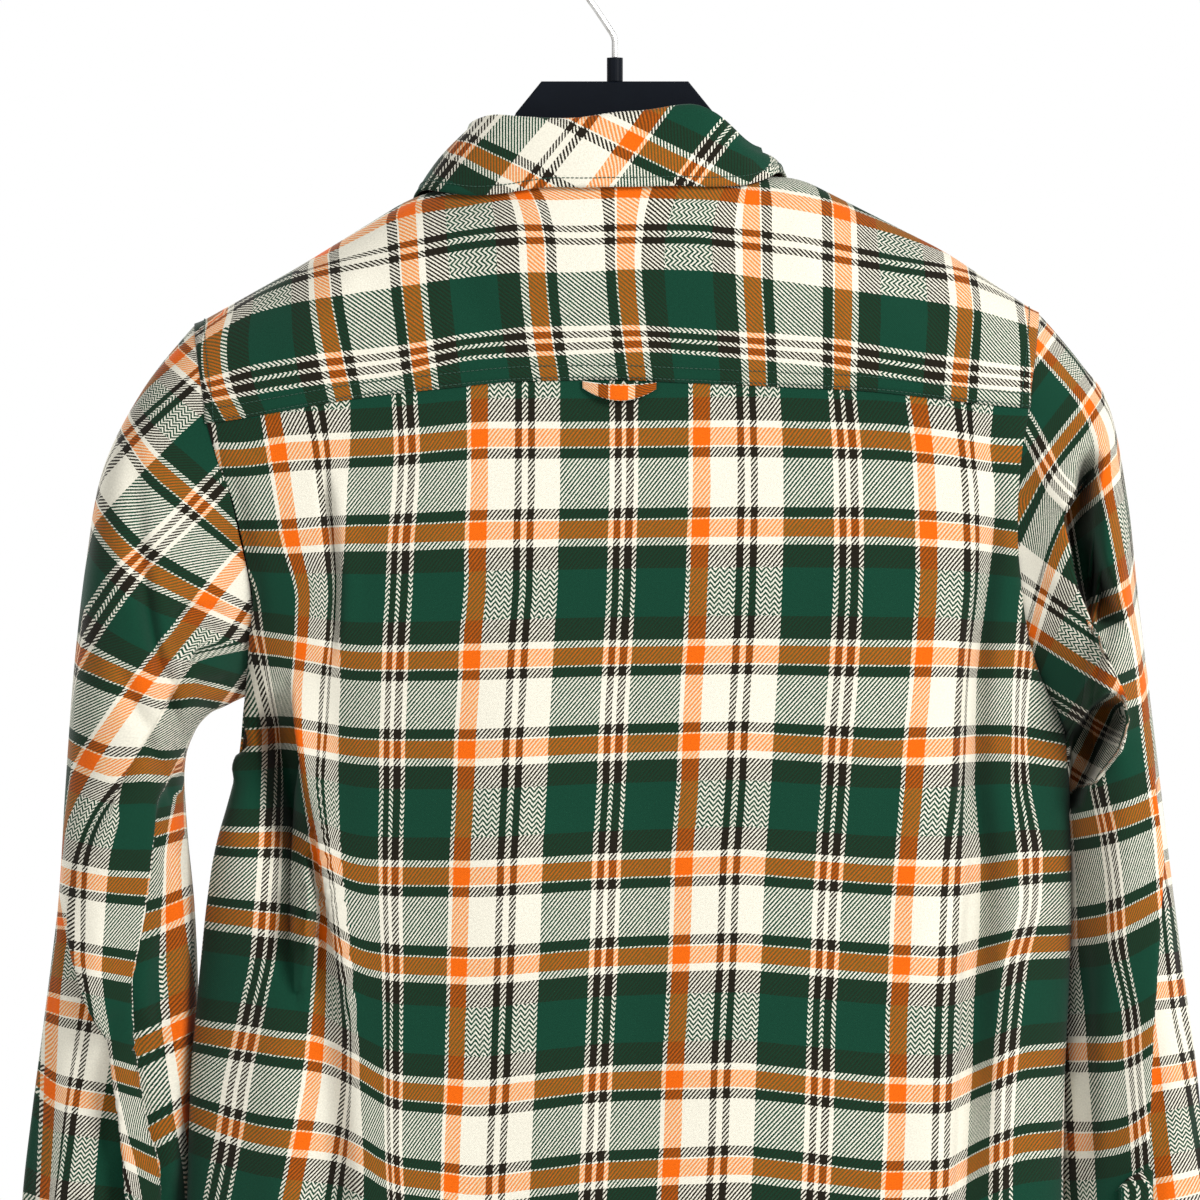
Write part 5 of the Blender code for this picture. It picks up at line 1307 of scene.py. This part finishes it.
def thread_cross():
    """Three strands each way that cross between the holes and dive into them."""
    verts, faces = [], []
    step = np.linspace(-1, 1, 11)
    dip = -2.4 * np.maximum(0, np.abs(step) - 0.84) / 0.16
    for way, over in ((1, 0), (-1, 0.22)):
        for aside in (-0.28, 0.0, 0.28):
            line = np.stack([HOLE_OUT * step - aside * way, way * HOLE_OUT * step + aside,
                             0.86 + 0.28 * (1 - step * step) + dip + over], axis=1) * MM
            ahead = np.gradient(line, axis=0)
            ahead /= np.linalg.norm(ahead, axis=1, keepdims=True)
            side = np.cross(ahead, (0, 0, 1.0))
            side /= np.linalg.norm(side, axis=1, keepdims=True).clip(1e-9)
            ring = side[:, None] * COSINES + np.cross(side, ahead)[:, None] * SINES
            add_strand(verts, faces, line[:, None] + 0.2 * MM * ring)
    mesh = bpy.data.meshes.new("button_thread")
    mesh.from_pydata([tuple(vert) for vert in verts], [], faces)
    mesh.polygons.foreach_set("use_smooth", np.ones(len(faces), bool))
    return mesh


def buttonhole(name, grid, ways, middle, along, lift):
    """The close-worked rim of a slit in a band, its thread wrapped over the edge all round."""
    spots, ways = grid.reshape(-1, 3), ways.reshape(-1, 3)
    wraps, corners = 84, 5
    turn = np.arange(wraps) * 2 * math.pi / wraps
    up = np.cross(along, ways[np.argmin(np.linalg.norm(spots - middle, axis=1))])
    run = np.clip(9.5 * np.cos(turn), -7.6, 7.6)
    rim = middle + run[:, None] * MM * along + np.sin(turn)[:, None] * MM * up
    angle = np.arange(corners)[:, None] * 2 * math.pi / corners
    verts = []
    for step, place in enumerate(rim):
        near = np.argmin(np.linalg.norm(spots - place, axis=1))
        way = ways[near]
        place = place - way * np.dot(place - spots[near], way) + way * lift
        ahead = rim[(step + 1) % wraps] - rim[step - 1]
        aside = np.cross(ahead / np.linalg.norm(ahead), way)
        thick = (0.5 if step % 2 else 0.33) * MM
        verts.extend(place + thick * (aside * np.cos(angle) + way * np.sin(angle) * 0.8))
    faces = []
    for step in range(wraps):
        here, there = step * corners, (step + 1) % wraps * corners
        faces += [(here + corner, here + after, there + after, there + corner)
                  for corner, after in ((k, (k + 1) % corners) for k in range(corners))]
    return made_up(name, verts, faces, thread, rounded=False)


BUTTONED = {"front": ("front_placket", band_points, band_push, 0.8 * MM),
            "collar": ("collar_stand", stand_points, around(stand_points), 1.0 * MM)}
for name, grid in cuff_grids.items():
    BUTTONED["cuff_button_" + name] = ("cuff_" + name, grid, around(grid), 1.1 * MM)
disc_pattern, cross_pattern = button_mesh(), thread_cross()
for name in [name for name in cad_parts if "button" in name]:
    corners = np.array([vertex.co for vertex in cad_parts[name].data.vertices])
    middle = (corners.min(axis=0) + corners.max(axis=0)) / 2
    # the disc's face is the flattest way through its solid: cuff buttons look back, the others forward
    facing = np.linalg.svd(corners - corners.mean(axis=0))[2][2]
    facing = facing * np.sign(facing[1] if "cuff" in name else -facing[1])
    side = np.cross((0, 0, 1.0), facing)
    side /= np.linalg.norm(side)
    to_place = np.stack([side, np.cross(facing, side), facing])
    band_name, grid, ways, lift = BUTTONED.get(name) or BUTTONED[name.split("_")[0]]
    upright = np.array([0, 0, 1.0])
    buttonhole(name + "_hole", grid, ways, middle, upright if "front" in name else side, lift)
    for part, pattern, finish in (("disc", disc_pattern, resin), ("thread", cross_pattern, thread)):
        mesh = pattern.copy()
        flat = np.array([vertex.co for vertex in mesh.vertices]) @ to_place + middle
        mesh.vertices.foreach_set("co", flat.reshape(-1).astype(np.float32))
        mesh.materials.clear()
        mesh.materials.append(finish)
        made = set_out(f"{name}_{part}", mesh)
        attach(made, "root")
        if part == "disc":
            mesh.polygons.foreach_set("use_smooth", np.ones(len(mesh.polygons), bool))
            mesh.set_sharp_from_angle(angle=math.radians(35))
            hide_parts(name)

# Hanger: a moulded black plastic plate and arms with a satin grain, its boss, and the bent hook of
# zinc-plated steel wire that turns in it.
plastic, tree, shader = new_finish("moulded_plastic")
place = object_place(tree)
cloudy = noise(tree, 45, 3, 0.6, place)
feed(tree, shader, {"Base Color": tones(tree, cloudy, ((0, (6, 9, 15)), (1, (12, 17, 25)))),
                    "Roughness": reckon(tree, "MULTIPLY_ADD", noise(tree, 900, 3, 0.6, place), 0.25, 0.36),
                    "Normal": bump(tree, noise(tree, 1500, 2, 0.5, place), 0.1 * MM, 0.15),
                    "Specular IOR Level": 0.08})
zinc, tree, shader = new_finish("zinc_wire")
place = object_place(tree)
dull = noise(tree, 160, 4, 0.6, place)
feed(tree, shader, {"Base Color": tones(tree, dull, ((0, (120, 118, 112)), (1, (196, 196, 196)))),
                    "Roughness": reckon(tree, "MULTIPLY_ADD", noise(tree, 700, 3, 0.7, place), 0.3, 0.2),
                    "Metallic": 1.0})
for name, finish in (("hanger", plastic), ("hanger_boss", plastic), ("hook", zinc)):
    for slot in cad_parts[name].material_slots:
        slot.material = finish

# Room: a pale floor well below the hem, a white room that lights from all round, and four soft lamps:
# behind the shirt and in front of it, a strong one high on one side and a weak one low on the other.
# The room is seen at full white and lights at less, so that the cloth's folds still show.
FLOOR_HALF, FLOOR_Z = 3, -1.06
ROOM_LIGHT = 0.65
floor = bpy.data.meshes.new("floor")
corners = ((-1, -1), (1, -1), (1, 1), (-1, 1))
floor.from_pydata([(x * FLOOR_HALF, y * FLOOR_HALF, FLOOR_Z) for x, y in corners], [], [(0, 1, 2, 3)])
paint, tree, shader = new_finish("floor_paint")
feed(tree, shader, {"Base Color": (0.86, 0.86, 0.85, 1), "Roughness": 0.8})
floor.materials.append(paint)
set_out("floor", floor)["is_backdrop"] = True
room = bpy.data.worlds.new("room")
room.use_nodes = True
tree = room.node_tree
wall = tree.nodes["Background"]
feed(tree, wall, {0: (1, 1, 1, 1)})
lit = wire(tree, "ShaderNodeBackground", {0: (1, 1, 1, 1), 1: ROOM_LIGHT})
by_camera = wire(tree, "ShaderNodeLightPath").outputs["Is Camera Ray"]
seen = wire(tree, "ShaderNodeMixShader", {0: by_camera, 1: lit.outputs[0], 2: wall.outputs[0]})
feed(tree, tree.nodes["World Output"], {0: seen.outputs[0]})
bpy.context.scene.world = room
bpy.context.scene.view_settings.view_transform = "Standard"
MIDDLE = Vector((0, 0, -0.45))
for name, place, size, power in (
    ("key", (-2.4, 2.6, 1.3), 1.3, 180), ("fill", (2.4, 2.6, -0.3), 2.2, 22),
    ("front", (1.4, -3.0, 1.3), 1.3, 150), ("front_fill", (-2.4, -2.2, -0.3), 2.2, 22),
):
    data = bpy.data.lights.new(name, "AREA")
    data.size, data.energy = size, power
    lamp = set_out(name, data)
    lamp.location = place
    lamp.rotation_euler = (MIDDLE - Vector(place)).to_track_quat("-Z", "Y").to_euler()

low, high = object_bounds()
